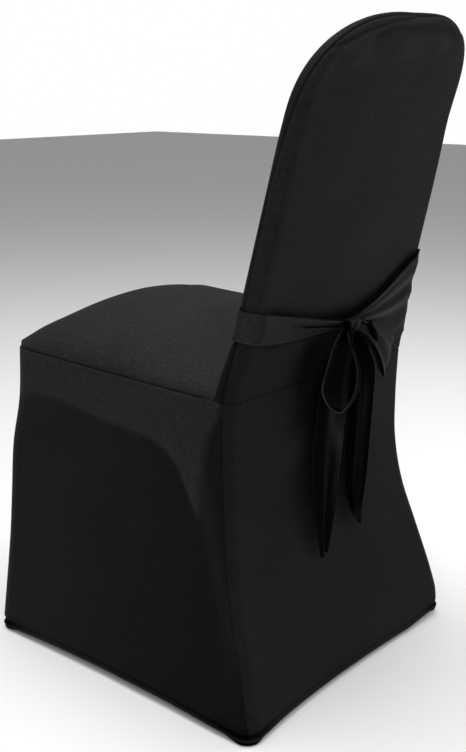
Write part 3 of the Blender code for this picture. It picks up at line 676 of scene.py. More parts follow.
def seat_height(x, y, half):
    """Height of the seat: the seam's slope and a crown of quarter sines, to low powers, from its edges."""
    from_side = np.clip((half - np.abs(x)) / SEAT_RUN_SIDE, 0, 1)
    from_front = np.clip((y - SEAT_FRONT_Y) / SEAT_RUN_FRONT, 0, 1)
    crown = np.sin(from_side * np.pi / 2) ** SEAT_SIDE_POWER
    crown = crown * np.sin(from_front * np.pi / 2) ** SEAT_FRONT_POWER
    fall = 1 - SEAT_FALL * soft((y - SEAT_FALL_Y) / (BACK_MID_Y - BACK_RADIUS - SEAT_FALL_Y))
    corner = hump(np.hypot(np.abs(x) - CORNER_AT[0], y - CORNER_AT[1]), CORNER_REACH)
    return SEAM_Z + seam_slope(y) + (SEAT_CROWN * fall + CORNER_RISE * corner) * crown


def seat_corner():
    """Where the seat seam meets the back's front edge: x, y and the place p on the skirt."""
    angle = np.radians(RAIL_TOP_DEG)
    x = back_half(SEAM_Z) - BACK_RADIUS + BACK_RADIUS * np.cos(angle)
    y = BACK_MID_Y + BACK_RADIUS * np.sin(angle)
    places = np.linspace(2.5, 3, 400)
    line = skirt_point(SEAM_Z, places, EDGE_DEG)
    return x, y, float(np.interp(y, line[:, 1], places))


def seat_rear_edge(x):
    """The line where the seat meets the inner face of the leaning back: y and z at each place across."""
    corner_x, corner_y, _ = seat_corner()
    edge = np.clip(np.abs(x) - (back_half(SEAM_Z) - BACK_RADIUS), 0, BACK_RADIUS)
    y = np.full(np.shape(x), corner_y)
    for _ in range(6):
        z = seat_height(x, y, corner_x)
        y = back_mid(z) - np.sqrt(BACK_RADIUS**2 - edge**2) - back_bulge(x, z) * (edge == 0)
    return y, z


def back_face(rear, far, count):
    """Half of the rear or inner panel, from the edge seam to the middle line, waist row first.

    Returns the grid and where each point lies with the round edge unrolled, as x and z.
    """
    up_side = SIDE_SHARE * crowded(count * 2 // 3, 1.2)
    t = np.concatenate([up_side, np.linspace(SIDE_SHARE, 1, count // 3 + 1)[1:]])
    x, z, out = back_outline(t, far)
    seam_at = smooth_table(BACK_SEAM_ROWS, BACK_SEAM_COLUMNS, z)["degrees"]
    face = 90.0 if rear else -90.0
    columns, unrolled = [], []
    for share in EDGE_SHARES:
        angle = np.radians(seam_at + (face - seam_at) * share)
        arc = BACK_RADIUS * np.abs(np.radians(face) - angle)
        unrolled.append(np.stack([x, z], -1) + arc[:, None] * out)
        px = x + BACK_RADIUS * np.cos(angle) * out[:, 0]
        pz = z + BACK_RADIUS * np.cos(angle) * out[:, 1]
        columns.append(np.stack([px, back_mid(pz) + BACK_RADIUS * np.sin(angle), pz], -1))
    spine = SEAM_Z + (TOP_Z - SPINE_DROP - SEAM_Z) * t
    for inset in np.linspace(0, 1, BACK_COLUMNS)[1:] ** 1.1:
        px = x * (1 - inset)
        pz = z + (spine - z) * inset
        crown = REAR_CROWN * np.sin(inset * np.pi / 2) * soft((pz - SEAM_Z) / 0.08)
        depth = BACK_RADIUS + crown if rear else -BACK_RADIUS - back_bulge(px, pz)
        columns.append(np.stack([px, back_mid(pz) + depth, pz], -1))
        unrolled.append(np.stack([px, pz], -1))
    grid = np.stack(columns, 1)
    grid[:, -1, 0] = 0.0
    grid[-1, :, 0] = 0.0
    rise = seam_slope(grid[0, :, 1])
    if not rear:
        on_seat = grid[0, :, 1] < seat_corner()[1] + 1e-5
        rise = np.where(on_seat, seat_rear_edge(grid[0, :, 0])[1] - SEAM_Z, rise)
    lift_fade = 1 - soft((grid[:, :, 2] - SEAM_Z) / LIFT_RUN)
    lifted = grid[:, :, 2] + rise[None, :] * lift_fade
    bulge = 0.0 if rear else back_bulge(grid[:, :, 0], grid[:, :, 2]) - back_bulge(grid[:, :, 0], lifted)
    grid[:, :, 1] += back_mid(lifted) - back_mid(grid[:, :, 2]) + bulge
    grid[:, :, 2] = lifted
    return grid, np.stack(unrolled, 1)


# The seat


def seat_face():
    """Half of the seat panel: from its seam to the middle line, front middle first and rear edge last."""
    corner_x, corner_y, corner_p = seat_corner()
    along_side = 2 + (corner_p - 2) * np.linspace(0, 1, 91)[1:]
    p = np.concatenate([np.linspace(0, 1, 50), np.linspace(1, 2, 41)[1:], along_side])
    edge = skirt_point(SEAM_Z, p, EDGE_DEG)
    edge[0, 0] = 0.0
    share = np.concatenate([[0], np.cumsum(np.linalg.norm(np.diff(edge[:, :2], axis=0), axis=1))])
    share /= share[-1]
    # The first columns are close together, for the groove of the seam
    seam_share = 0.012
    beyond = seam_share + (1 - seam_share) * np.linspace(0, 1, SEAT_COLUMNS) ** 1.5
    columns = []
    for inset in np.concatenate([np.linspace(0, seam_share, 7)[:-1], beyond]):
        x = edge[:, 0] * (1 - inset)
        middle_y = SEAT_SPINE_FRONT + (corner_y - SEAT_SPINE_FRONT) * share**1.4
        y = edge[:, 1] + (middle_y - edge[:, 1]) * inset
        y = y + (seat_rear_edge(x)[0] - corner_y) * soft((share - 0.72) / 0.28) * (inset > 0)
        z = edge[:, 2] if inset == 0 else seat_height(x, y, np.maximum(edge[:, 0], corner_x))
        columns.append(np.stack([x, y, z], -1))
    grid = np.stack(columns, 1)
    grid[:, -1, 0] = 0.0
    return grid


# The sash


def round_back(s, z, out):
    """A point that far outside the covered back, s being the place round it.

    s: 0 to 1 rear face from the middle to +X, 1 to 2 the +X edge, 2 to 4 the inner face,
    4 to 5 the -X edge, 5 to 6 rear face back to the middle.
    """
    half = back_half(z) - BACK_RADIUS
    mid = back_mid(z)
    radius = BACK_RADIUS + out
    angle = np.radians(90 - 180 * np.clip(np.where(s < 3, s - 1, 5 - s), 0, 1))
    side = np.where(s < 3, 1.0, -1.0)
    inner = (s > 2) & (s < 4)
    rear = (s < 1) | (s > 5)
    across_rear = np.where(s < 3, s * half, -(SASH_TURN - s) * half)
    x = np.where(rear, across_rear, side * (half + radius * np.cos(angle)))
    x = np.where(inner, (3 - s) * half, x)
    y = mid + radius * np.where(rear, 1.0, np.sin(angle)) + REAR_CROWN * rear
    y = np.where(inner, mid - radius - back_bulge(np.clip(x, -half, half), z), y)
    return np.stack([x, y, z], -1)


def sash_pleats(s, v):
    """Relief of the sash in metres: bell-shaped pleats that rise towards the knot, and its rolled hems."""
    near = soft((0.95 - s) / 0.85)
    near_fold = 0.0022 * hump(v - 0.25 + 0.2 * s, 0.15) - 0.0024 * hump(v - 0.66 + 0.45 * s, 0.10)
    relief = near * (near_fold + 0.0012)
    far = soft((s - 4.55) / 0.6)
    far_fold = 0.0042 * hump(v - 0.15, 0.10) + 0.0040 * hump(v - 0.49, 0.065) + 0.0018 * hump(v - 0.76, 0.11)
    relief = relief + far * (far_fold - 0.0010 * hump(v - 0.37, 0.045) - 0.0010 * hump(v - 0.60, 0.05))
    round_front = soft((s - 1.0) / 0.5) * soft((4.9 - s) / 0.5)
    relief = relief + round_front * 0.0004 * (1 + np.sin(2 * np.pi * (1.6 * v + 0.22 * np.sin(1.9 * s))))
    fine = 0.00035 * np.sin(2 * np.pi * (5.5 * v + 0.5 * np.sin(3.1 * s))) * np.maximum(near, far)
    crease = 0.0004 * hump(s - 1.16 - 0.05 * v, 0.05) - 0.0005 * hump(s - 1.34 + 0.04 * v, 0.05)
    return relief + fine + crease + 0.0006 * (hump(v, 0.035) + hump(v - 1, 0.035))


def sash_lightness(s, v):
    """Painted light and shade of the sash: its pleats' crests and hems catch painted highlights, and the gaps
    between them hold painted shade.
    """
    near = soft((0.95 - s) / 0.7)
    far = soft((s - 4.75) / 0.5)
    gap = hump(v - 0.66 + 0.45 * s, 0.10 + 0.05 * soft((s - 0.30) / 0.25)) * soft((0.76 - s) / 0.24)
    gap = (0.42 + 0.45 * soft((0.40 - s) / 0.35)) * gap
    light = 0.62 - 0.38 * near + 0.45 * near * hump(v - 0.24 + 0.2 * s, 0.10) - gap
    light = light - 0.35 * near * hump(v - 0.02, 0.05)
    light = light - 0.25 * near * hump(v - 0.80, 0.10) * soft((0.5 - s) / 0.3)
    crests = 2.2 * hump(v - 0.065, 0.016) + 2.6 * hump(v - 0.235, 0.020) + 3.8 * hump(v - 0.475, 0.022)
    valleys = 0.12 * hump(v - 0.14, 0.05) + 0.36 * hump(v - 0.355, 0.070) + 0.65 * hump(v, 0.025)
    below = -0.20 * soft((v - 0.52) / 0.2)
    light = light + far * (crests * (0.45 + 0.55 * soft((5.75 - s) / 0.3)) - valleys - 0.10 + below)
    light = light + 0.40 * hump(v - 1, 0.03) + 0.42 * hump(s - 1.25, 0.30) + 0.15 * hump(s - 1.48, 0.05)
    return np.clip(light, DARKEST_SASH, 4.0)


def sash_band():
    s = np.concatenate(
        [
            np.linspace(-0.05, 0.98, 100),
            np.linspace(1.0, 2.0, 32),
            np.linspace(2.03, 3.97, 50),
            np.linspace(4.0, 5.0, 32),
            np.linspace(5.02, 5.84, 100),
        ]
    )
    row = smooth_table(SASH_ROWS, SASH_COLUMNS, s)
    v = crowded(SASH_BAND_ROWS, 1.4)
    z = row["top"][:, None] + (row["bottom"] - row["top"])[:, None] * v[None, :]
    s = np.repeat(s[:, None], len(v), 1)
    v = np.repeat(v[None, :], len(s), 0)
    pressed = 0.0018 * soft((s - 0.96) / 0.12) * soft((2.10 - s) / 0.12)
    grid = round_back(s, z, SASH_CLEARANCE + np.maximum(sash_pleats(s, v), -PLEAT_DEPTH) - pressed)
    return grid[:, ::-1], sash_lightness(s, v)[:, ::-1]


def ribbon(rows, along_count, across_count, anchor, waves=1.0, point=0.0, notch=0.0):
    """A ribbon carried along a curve through its rows.

    anchor is 0 where the rows give one edge, 0.5 the middle. waves is the number of lengthwise
    folds across it, point how far one corner of its cut end is drawn down and notch how far the
    end's middle is drawn up, in metres. Returns the grid and the shares along and across it.
    """
    table = np.concatenate([np.arange(len(rows), dtype=float)[:, None], np.array(rows, float)], 1)
    row = smooth_table(table, RIBBON_COLUMNS, np.linspace(0, len(rows) - 1, along_count))
    path = np.stack([row["x"], row["y"], row["z"]], -1)
    across = unit(np.stack([row["across_x"], row["across_y"], row["across_z"]], -1))
    along = unit(np.gradient(path, axis=0))
    normal = unit(np.cross(along, across))
    v = crowded(across_count, 1.2)
    offset = (v - anchor)[None, :, None] * row["width"][:, None, None] * across[:, None, :]
    place = np.linspace(0, 1, along_count)[:, None]
    ridge = np.sin(v[None, :] * 2 * np.pi * waves + 0.5 * np.sin(place * 5.0)) * row["fold"][:, None]
    fine = 0.22 * np.sin(v[None, :] * 2 * np.pi * 3.3 + 2.0 * place) * row["fold"][:, None]
    hems = 0.0007 * (hump(v, 0.05) + hump(v - 1, 0.05))[None, :] * soft(place / 0.05)
    grid = path[:, None, :] + offset + (ridge + fine + hems)[..., None] * normal[:, None, :]
    cut = soft((place - 0.86) / 0.14) * (point * (v[None, :] - 0.5) - notch * hump(v[None, :] - 0.45, 0.22))
    grid[..., 2] -= cut
    return grid, place, v[None, :]


def knot_shape(rows=70, columns=120):
    """The tied knot: a ball drawn to its size, wrapped by a strap whose gathers run over it."""
    theta = np.linspace(0, np.pi, rows)[:, None]
    phi = np.linspace(0, 2 * np.pi, columns + 1)[None, :-1]
    x = np.sin(theta) * np.cos(phi)
    y = np.sin(theta) * np.sin(phi)
    z = np.cos(theta) * np.ones_like(phi)
    fold = np.cos(x * 8.6 + 2.4 * z + 0.9)
    gather = 1 + (0.15 * fold + 0.03 * np.cos(x * 21.0 + 3.0 * z)) * (1 - z * z)
    # Painted light and shade: the knot is lighter on top, towards -X and on its gathers' crests, and darker
    # at its +X side and underneath
    light = 0.42 - 0.34 * x + 0.40 * z + 0.30 * fold - 0.75 * hump(x - 1, 0.30) - 0.45 * hump(z + 1, 0.5)
    x = np.sign(x) * np.abs(x) ** 0.70 * (1 + 0.08 * z)
    z = np.sign(z) * np.abs(z) ** 0.72 * np.where(z > 0, 0.72, 1.0)
    grid = np.stack(
        [
            KNOT_CENTRE[0] + KNOT_HALF[0] * x * (1 + 0.10 * np.abs(x)),
            KNOT_CENTRE[1] + KNOT_HALF[1] * y * gather,
            KNOT_CENTRE[2] + KNOT_HALF[2] * z * (0.8 + 0.2 * gather),
        ],
        -1,
    )
    return grid, np.clip(light, DARKEST_SASH, 1.3)


# The foot pockets


def pocket_rings(front, side):
    """Rings of one foot pocket, rim first: the skirt's corner set in by the cloth, closed behind the foot."""
    # Up the wall, round the lower edge by a quarter circle, and once inside the sole
    wall = np.linspace(POCKET_RISE, POCKET_ROUND, 16)
    turn = np.linspace(0, np.pi / 2, 8)[1:]
    heights = np.concatenate([wall, POCKET_ROUND * (1 - np.sin(turn)), [0.0]])
    shrinks = np.concatenate([np.zeros(len(wall)), POCKET_ROUND * (1 - np.cos(turn)), [POCKET_SOLE]])
    centre_p = FRONT_SEAM_P if front else REAR_SEAM_P
    places = np.linspace(centre_p - 0.9, centre_p + 0.9, 241)
    want = np.linspace(-POCKET_SPAN, POCKET_SPAN, 61)
    rings = []
    for height, shrink in zip(heights, shrinks):
        inset = CLOTH + POCKET_GAP + 0.0040 * soft((height - 0.0055) / 0.005)
        fine = skirt_point(max(height, 0.0), places)
        walk = np.concatenate([[0], np.cumsum(np.linalg.norm(np.diff(fine[:, :2], axis=0), axis=1))])
        walk -= np.interp(centre_p, places, walk)
        tangent = unit(np.gradient(fine[:, :2], axis=0))
        outward = np.stack([tangent[:, 1], -tangent[:, 0]], -1)
        line = np.stack([np.interp(want, walk, fine[:, k]) for k in (0, 1)], -1)
        normal = unit(np.stack([np.interp(want, walk, outward[:, k]) for k in (0, 1)], -1))
        outer = line - normal * inset
        middle = outer[len(outer) // 2]
        corner = outer[0] + outer[-1] - middle
        first = outer[0] + (corner - outer[0]) * POCKET_WALL_PULL
        last = outer[-1] + (corner - outer[-1]) * POCKET_WALL_PULL
        inner_corner = corner + (middle - corner) * POCKET_CORNER_PULL
        bend = np.array([outer[-1], last, inner_corner, first, outer[0]])
        t = np.linspace(0, 4, 41)[1:-1]
        inner = np.stack([np.interp(t, np.arange(5), bend[:, k]) for k in (0, 1)], -1)
        ring = np.concatenate([outer, inner])
        centre = ring.mean(0)
        away = ring - centre
        reach = np.linalg.norm(away, axis=1, keepdims=True)
        ring = ring - away * np.minimum(shrink / reach, 0.6)
        away_from_corner = np.linalg.norm(ring - ring[len(want) // 2], axis=1) / POCKET_SPAN
        rise = 0.010 * soft(away_from_corner - 0.15) * (1 - height / POCKET_RISE)
        rings.append(np.concatenate([ring * (side, 1.0), (height + rise)[:, None]], 1))
    rings.append(np.repeat(rings[-1].mean(0)[None, :], len(rings[0]), 0))
    return np.stack(rings)


# Materials


def knit(name, dark, light, roughness, sheen, specular, wale, shade_depth):
    """Warp knit seen close: ribs, one wale wide, of V-shaped stitches on the cloth's UV map in metres.

    Height is the product of a rib's sine across and a stitch's sine along, with fine noise. The
    colour runs from dark to light with the light attribute, which holds painted light and shade,
    times the flecks of three noises.
    """
    made = bpy.data.materials.new(name)
    made.use_nodes = True
    nodes, links = made.node_tree.nodes, made.node_tree.links
    shader = nodes["Principled BSDF"]
    shader.inputs["Roughness"].default_value = roughness
    shader.inputs["Sheen Weight"].default_value = sheen
    shader.inputs["Sheen Roughness"].default_value = 0.45
    shader.inputs["Sheen Tint"].default_value = (0.95, 0.97, 1.0, 1.0)

    def add(kind, **values):
        node = nodes.new(kind)
        for key, value in values.items():
            setattr(node, key, value)
        return node

    def math(operation, a, b=None):
        node = add("ShaderNodeMath", operation=operation)
        for i, value in enumerate((a, b)):
            if isinstance(value, (int, float)):
                node.inputs[i].default_value = value
            elif value is not None:
                links.new(value, node.inputs[i])
        return node.outputs[0]

    def noise(vector, scale, detail):
        node = add("ShaderNodeTexNoise")
        node.inputs["Scale"].default_value = scale
        node.inputs["Detail"].default_value = detail
        links.new(vector, node.inputs["Vector"])
        return math("SUBTRACT", node.outputs[0], 0.5)

    uv = add("ShaderNodeUVMap", uv_map="UVMap")
    axes = add("ShaderNodeSeparateXYZ")
    links.new(uv.outputs[0], axes.inputs[0])
    place = add("ShaderNodeTexCoord").outputs["Object"]
    turns = 2 * np.pi / wale
    across = math("MULTIPLY", axes.outputs[0], turns / 2)
    rib = math("ABSOLUTE", math("SINE", across))
    zigzag = math("MULTIPLY", rib, 1.6)
    along = math("ADD", math("MULTIPLY", axes.outputs[1], turns * 1.25), zigzag)
    stitch = math("MULTIPLY", math("ADD", math("SINE", along), 1.0), 0.5)
    height = math("MULTIPLY", rib, math("ADD", math("MULTIPLY", stitch, 0.6), 0.4))
    height = math("ADD", height, noise(place, 900.0, 2.0))
    bump = add("ShaderNodeBump")
    bump.inputs["Strength"].default_value = STITCH_STRENGTH
    bump.inputs["Distance"].default_value = STITCH_HEIGHT
    links.new(height, bump.inputs["Height"])
    links.new(bump.outputs[0], shader.inputs["Normal"])

    # Flecks: slow clouds, short streaks along the ribs and fine specks
    stretched = add("ShaderNodeMapping")
    stretched.inputs["Scale"].default_value = (1.0, 0.35, 1.0)
    links.new(uv.outputs[0], stretched.inputs["Vector"])
    fleck = math("MULTIPLY", noise(place, 11.0, 4.0), 0.60)
    fleck = math("ADD", fleck, math("MULTIPLY", noise(stretched.outputs[0], 300.0, 3.0), 0.80))
    fleck = math("ADD", fleck, math("MULTIPLY", noise(place, 260.0, 2.0), 1.35))
    # The stitches' tops are painted lighter than their hollows: painted shade in the knit
    fleck = math("ADD", fleck, math("MULTIPLY", height, 0.20))
    fleck = math("ADD", fleck, 0.92)

    lightness = add("ShaderNodeAttribute", attribute_name="light")
    # Below zero the lightness is shade: colour and gloss both fall towards none at minus the shade's depth
    shaded = add("ShaderNodeMapRange")
    shaded.inputs["From Min"].default_value = -shade_depth
    shaded.inputs["From Max"].default_value = 0.0
    shaded.inputs["To Min"].default_value = 0.06
    links.new(lightness.outputs["Fac"], shaded.inputs["Value"])
    links.new(math("MULTIPLY", shaded.outputs["Result"], specular), shader.inputs["Specular IOR Level"])
    fleck = math("MULTIPLY", fleck, shaded.outputs["Result"])
    blend = add("ShaderNodeMix", data_type="RGBA", clamp_factor=False)
    links.new(math("MAXIMUM", lightness.outputs["Fac"], 0.0), blend.inputs["Factor"])
    blend.inputs["A"].default_value = (*dark, 1.0)
    blend.inputs["B"].default_value = (*light, 1.0)
    grey = add("ShaderNodeCombineColor")
    for channel in grey.inputs:
        links.new(fleck, channel)
    base = add("ShaderNodeMix", data_type="RGBA", blend_type="MULTIPLY")
    base.inputs["Factor"].default_value = 1.0
    links.new(blend.outputs["Result"], base.inputs["A"])
    links.new(grey.outputs[0], base.inputs["B"])
    links.new(base.outputs["Result"], shader.inputs["Base Color"])
    return made


def plain(name, colour, roughness):
    made = bpy.data.materials.new(name)
    made.use_nodes = True
    shader = made.node_tree.nodes["Principled BSDF"]
    shader.inputs["Base Color"].default_value = (*colour, 1.0)
    shader.inputs["Roughness"].default_value = roughness
    return made


# Making pieces

# Width, length and area of each piece as worn, by its name
worn_sizes = {}


def area_of(grid):
    """Area of the grid's cells, half the cross product of their diagonals."""
    a = grid[1:, 1:] - grid[:-1, :-1]
    b = grid[1:, :-1] - grid[:-1, 1:]
    return float(np.linalg.norm(np.cross(a, b), axis=-1).sum() / 2)


def quads(rows, columns, closed):
    """Corners of the grid's quads, joined round in the column direction where closed."""
    last = columns if closed else columns - 1
    i, j = np.meshgrid(np.arange(rows - 1), np.arange(last), indexing="ij")
    k = (j + 1) % columns
    this, after = i * columns, (i + 1) * columns
    return np.stack([this + j, this + k, after + k, after + j], -1).reshape(-1, 4)


def piece(
    name, grid, finish, slot, light,
    flat_uv=None, closed=False, flip=False, wall=0.0, offset=-1.0, weld=False,
):
    """One mesh from a grid of points, with a UV map in metres, a painted lightness a point and a wall of
    cloth.
    """
    rows, columns = grid.shape[:2]
    uv = np.stack([lengths(grid, 1), lengths(grid, 0)], -1) if flat_uv is None else flat_uv
    extent = uv.max((0, 1)) if flat_uv is None else np.ptp(uv, axis=(0, 1))
    worn_sizes[name] = (*(float(x) for x in extent), area_of(grid))
    faces = quads(rows, columns, closed)
    if flip:
        faces = faces[:, ::-1]
    mesh = bpy.data.meshes.new(name)
    mesh.from_pydata(grid.reshape(-1, 3), [], faces.tolist())
    layer = mesh.uv_layers.new(name="UVMap")
    layer.data.foreach_set("uv", uv.reshape(-1, 2)[faces.reshape(-1)].astype(np.float32).reshape(-1))
    attribute = mesh.attributes.new("light", "FLOAT", "POINT")
    lightness = np.broadcast_to(np.maximum(light, DARKEST).astype(np.float32), (rows, columns)).copy()
    attribute.data.foreach_set("value", lightness.reshape(-1))
    if weld:
        shape = bmesh.new()
        shape.from_mesh(mesh)
        bmesh.ops.remove_doubles(shape, verts=shape.verts, dist=1e-6)
        bmesh.ops.dissolve_degenerate(shape, edges=shape.edges, dist=1e-7)
        shape.to_mesh(mesh)
        shape.free()
    mesh.shade_smooth()
    mesh.materials.append(finish)
    made = bpy.data.objects.new(name, mesh)
    bpy.context.scene.collection.objects.link(made)
    if wall:
        solid = made.modifiers.new("Cloth", "SOLIDIFY")
        solid.thickness = wall
        solid.offset = offset
        solid.use_even_offset = False
        solid.use_rim = True
    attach(made, "root")
    return made


def panel(name, grid, cloth, light, **options):
    """A piece of the cover's own cloth."""
    return piece(name, grid, cloth, "stretch_knit", light, wall=CLOTH, **options)


def moved(grid, relief):
    """The grid moved along its outward normal by the relief."""
    return grid + normals_of(grid) * relief[..., None]


def both_halves(half):
    """The half grid and its mirror image joined along the first row, as one grid."""
    return np.concatenate([mirror_x(half[:0:-1]), half], 0)


def whole_back(rear):
    """Both halves of a back panel as one grid, up the near side, over the top and down the far side."""
    count = BACK_ROWS if rear else INNER_BACK_ROWS
    near, near_flat = back_face(rear, 0.0, count)
    far, far_flat = back_face(rear, 1.0, count)
    flat = np.concatenate([near_flat, far_flat[-2::-1] * np.array([-1.0, 1.0])], 0)
    return np.concatenate([near, mirror_x(far[-2::-1])], 0), flat


def one_middle(grid):
    """The grid of a seat or a back with its halves' two middle columns drawn to one line."""
    joined = grid.copy()
    joined[:, -1] = (grid[:, -1] + grid[::-1, -1]) / 2
    joined[:, -1, 0] = 0.0
    return joined


def make_skirt(cloth):
    made = {}
    front = front_skirt()
    d = edge_distances(front)
    relief = hem_relief(d) + foot_relief(d) + seam(d["start"]) + seam(d["end"]) + seam(d["top"])
    relief = relief + wander(front, 0.16, 0.0006) * inland(d)
    made["front_skirt"] = panel("front_skirt_cloth", moved(front, relief), cloth, hem_highlight_and_shade(d))
    side = hem_arch(side_skirt())
    d = edge_distances(side)
    taut = taut_share(side)
    relief = hem_relief(d) + foot_relief(d) + seam(d["start"]) + 0.6 * seam(d["end"]) + 0.5 * seam(d["top"])
    relief = relief + (wander(side, 0.17, 0.0007, 1.0) + 0.0016 * taut) * inland(d)
    # A second row of stitches runs under the rear half of the seat seam
    stitched = soft((side[..., 1] + 0.12) / 0.06)
    relief = relief - 0.0007 * stitched * hump(d["top"] - 0.0085, 0.0009)
    shaped = moved(side, relief)
    # Painted light and shade: the cloth on the rail and the rear leg is painted lighter, as lit from above,
    # and where it hangs free it is painted darker towards the rear corner and the floor
    rearward = np.clip((side[..., 1] + 0.29) / 0.42, 0, 1)
    free = 0.16 - 0.46 * rearward - 0.08 * (1 - soft(side[..., 2] / 0.20)) * (1 - rearward)
    light = taut + (1 - taut) * free * (1 - near_corner(d) * hump(d["bottom"], 0.012)) + hem_highlight_and_shade(d)
    left, right = far_foot(shaped), far_foot(mirror_x(shaped))
    made["side_skirt_left"] = panel("side_skirt_left_cloth", left, cloth, light)
    made["side_skirt_right"] = panel("side_skirt_right_cloth", right, cloth, light, flip=True)
    rear = hem_arch(rear_skirt(), 0.0020)
    d = edge_distances(rear)
    x = rear[..., 0]
    gathers = 0.55 + 0.30 * np.sin(x * 2 * np.pi / 0.023 + 1.0) + 0.25 * np.sin(x * 2 * np.pi / 0.0091)
    pucker = 0.0006 * np.sin(x * 2 * np.pi / 0.0125 + 2 * np.sin(x * 61)) * hump(d["top"], 0.007)
    relief = hem_relief(d) + foot_relief(d) + 0.6 * (seam(d["start"]) + seam(d["end"]))
    relief = relief + gathers * seam(d["top"])
    relief = relief + pucker + wander(rear, 0.20, 0.0008, 2.0) * inland(d)
    # Painted light and shade: the rear skirt is painted darker upwards on its near half and lighter at its
    # far edge
    rise = soft((rear[..., 2] - 0.03) / 0.35)
    light = 0.14 - 0.16 * rise * soft((x + 0.05) / 0.15) + 0.10 * soft((-0.10 - x) / 0.08) + hem_highlight_and_shade(d)
    light = light - bow_shade(rear)
    made["rear_skirt"] = panel("rear_skirt_cloth", far_foot(moved(rear, relief)), cloth, light)
    return made


def make_body(cloth):
    made = {}
    seat = both_halves(seat_face())
    d = edge_distances(seat)
    relief = -(0.5 * seam(d["start"]) + wander(seat, 0.20, 0.0010, 0.6) * soft(d["start"] / 0.05))
    shaped = one_middle(moved(seat, relief))
    from_above = shaped[..., :2]
    # The seat is painted at full lightness: painted light on its top, which faces the overhead lamp
    made["seat_panel"] = panel("seat_cloth", shaped, cloth, 1.0, flat_uv=from_above, flip=True, weld=True)
    rear, rear_flat = whole_back(True)
    d = edge_distances(rear)
    from_seams = soft(d["start"] / 0.03) * soft((rear[..., 2] - SEAM_Z) / 0.03)
    relief = seam(d["start"]) + wander(rear, 0.18, 0.0007, 0.3) * from_seams
    gathers = 0.35 * seam(rear[..., 2] - SEAM_Z)
    rim, rim_painted_light = rim_relief(rear)
    press, shade = sash_press(rear)
    relief = relief + gathers + rim - press - edge_press(rear)
    shaped = one_middle(moved(rear, relief))
    x, z = rear[..., 0], rear[..., 2]
    # Painted light and shade: lightness rises from the waist up and towards the far edge, with a darker patch
    # below the near shoulder
    across = np.clip(0.5 - x / 0.36, 0, 1)
    light = -0.03 + 0.30 * soft((z - 0.50) / 0.16) + 0.10 * across + 0.05 * soft((z - 0.75) / 0.12) * across
    light = light - 0.13 * hump(x - 0.075, 0.055) * hump(z - 0.835, 0.055)
    # On the near side the round edge is painted lighter, to stand in the same light as the panel, with a
    # painted highlight on the seam's lip
    turned = soft((z - 0.545) / 0.03)
    light = light + turned * 0.17 * (1 - soft((d["start"] - 0.006) / 0.034)) * (x > 0)
    light = light + 0.22 * hump(d["start"] - LIP_AT, 0.0022) * soft((z - 0.60) / 0.1) + rim_painted_light
    light = light - shade - bow_shade(rear)
    made["back_panel"] = panel("back_cloth", shaped, cloth, light, flat_uv=rear_flat, weld=True)
    inner, inner_flat = whole_back(False)
    d = edge_distances(inner)
    relief = edge_press(inner) - seam(d["start"]) - wander(inner, 0.18, 0.0007, 0.9) * soft(d["start"] / 0.03)
    shaped = one_middle(moved(inner, relief))
    # Painted light and shade: the inner face is painted lighter away from its edge seam and upwards, and
    # darker beside the seam near the waist
    light = 0.75 * soft((d["start"] - 0.018) / 0.03) + 0.15 * soft((inner[..., 2] - 0.60) / 0.2)
    light = light - 0.35 * (1 - soft((inner[..., 2] - 0.54) / 0.03)) * (1 - soft((d["start"] - 0.02) / 0.02))
    made["inner_back_panel"] = panel(
        "inner_back_cloth", shaped, cloth, light, flat_uv=inner_flat, flip=True, weld=True
    )
    return made


def make_pockets(cloth):
    made = {}
    for front, place in ((True, "front"), (False, "rear")):
        for side, name in ((1.0, "left"), (-1.0, "right")):
            rings = far_foot(pocket_rings(front, side))
            node = f"foot_pocket_{place}_{name}"
            # The pockets are painted at the least lightness: painted shade under the chair's feet
            made[node] = panel(f"{node}_cloth", rings, cloth, DARKEST, closed=True, flip=side > 0, weld=True)
    return made


def loop_left_lightness(u, v):
    """Painted light and shade: the ribbon's front hem catches a painted highlight and its face falls off into
    painted shade.
    """
    uneven = 1 + 0.30 * np.sin(19 * u + 2 * np.sin(11 * u)) + 0.20 * np.sin(47 * u)
    hem = (1.7 + 0.5 * hump(u - 0.5, 0.2)) * uneven * hump(v - 0.015, 0.05) - 0.7 * hump(u - 0.02, 0.06)
    strand = 0.75 * hump(v - 0.45, 0.16) * hump(u - 0.94, 0.06)
    return -0.05 + hem + 0.12 * hump(v - 1, 0.08) + strand


def loop_right_folds(u, v):
    """Relief of the right loop's near strand: two rolled folds with a deep gap between them near the knot."""
    front = 1 - soft((u - 0.50) / 0.08)
    gap = hump(v - 0.22 - 3.2 * u, 0.12) * (1 - soft((u - 0.16) / 0.06))
    return front * (0.0012 * hump(v - 0.22, 0.09) + 0.0022 * hump(v - 0.80, 0.09) - 0.0038 * gap)


def loop_right_lightness(u, v):
    """Painted light and shade: a grey face, two strands with painted highlights and a hole of painted shade
    between them near the knot, and a far strand in painted shade.
    """
    front = 1 - soft((u - 0.49) / 0.05)
    near_knot = 1 - soft((u - 0.15) / 0.05)
    face = 0.29 + 0.16 * np.sin(2 * np.pi * (2.2 * v + 0.3))
    face = face + 0.30 * soft((v - 0.1) / 0.3) * soft((u - 0.15) / 0.15)
    strands = 1.35 * hump(v - 0.90, 0.085)
    strands = strands + hump(v + 0.02 - 3.2 * u, 0.050) * (1 - soft((u - 0.12) / 0.06))
    hole = 1.5 * hump(v - 0.22 - 3.2 * u, 0.130) * near_knot * soft((0.86 - v) / 0.08)
    above = 0.55 * soft((3.2 * u - 0.10 - v) / 0.05) * soft((0.16 - u) / 0.05)
    tip = 0.9 * hump(u - 0.49, 0.045) * soft((v - 0.55) / 0.3)
    return np.clip(front * (face + strands - hole - above) - tip, DARKEST_SASH, 1.6)


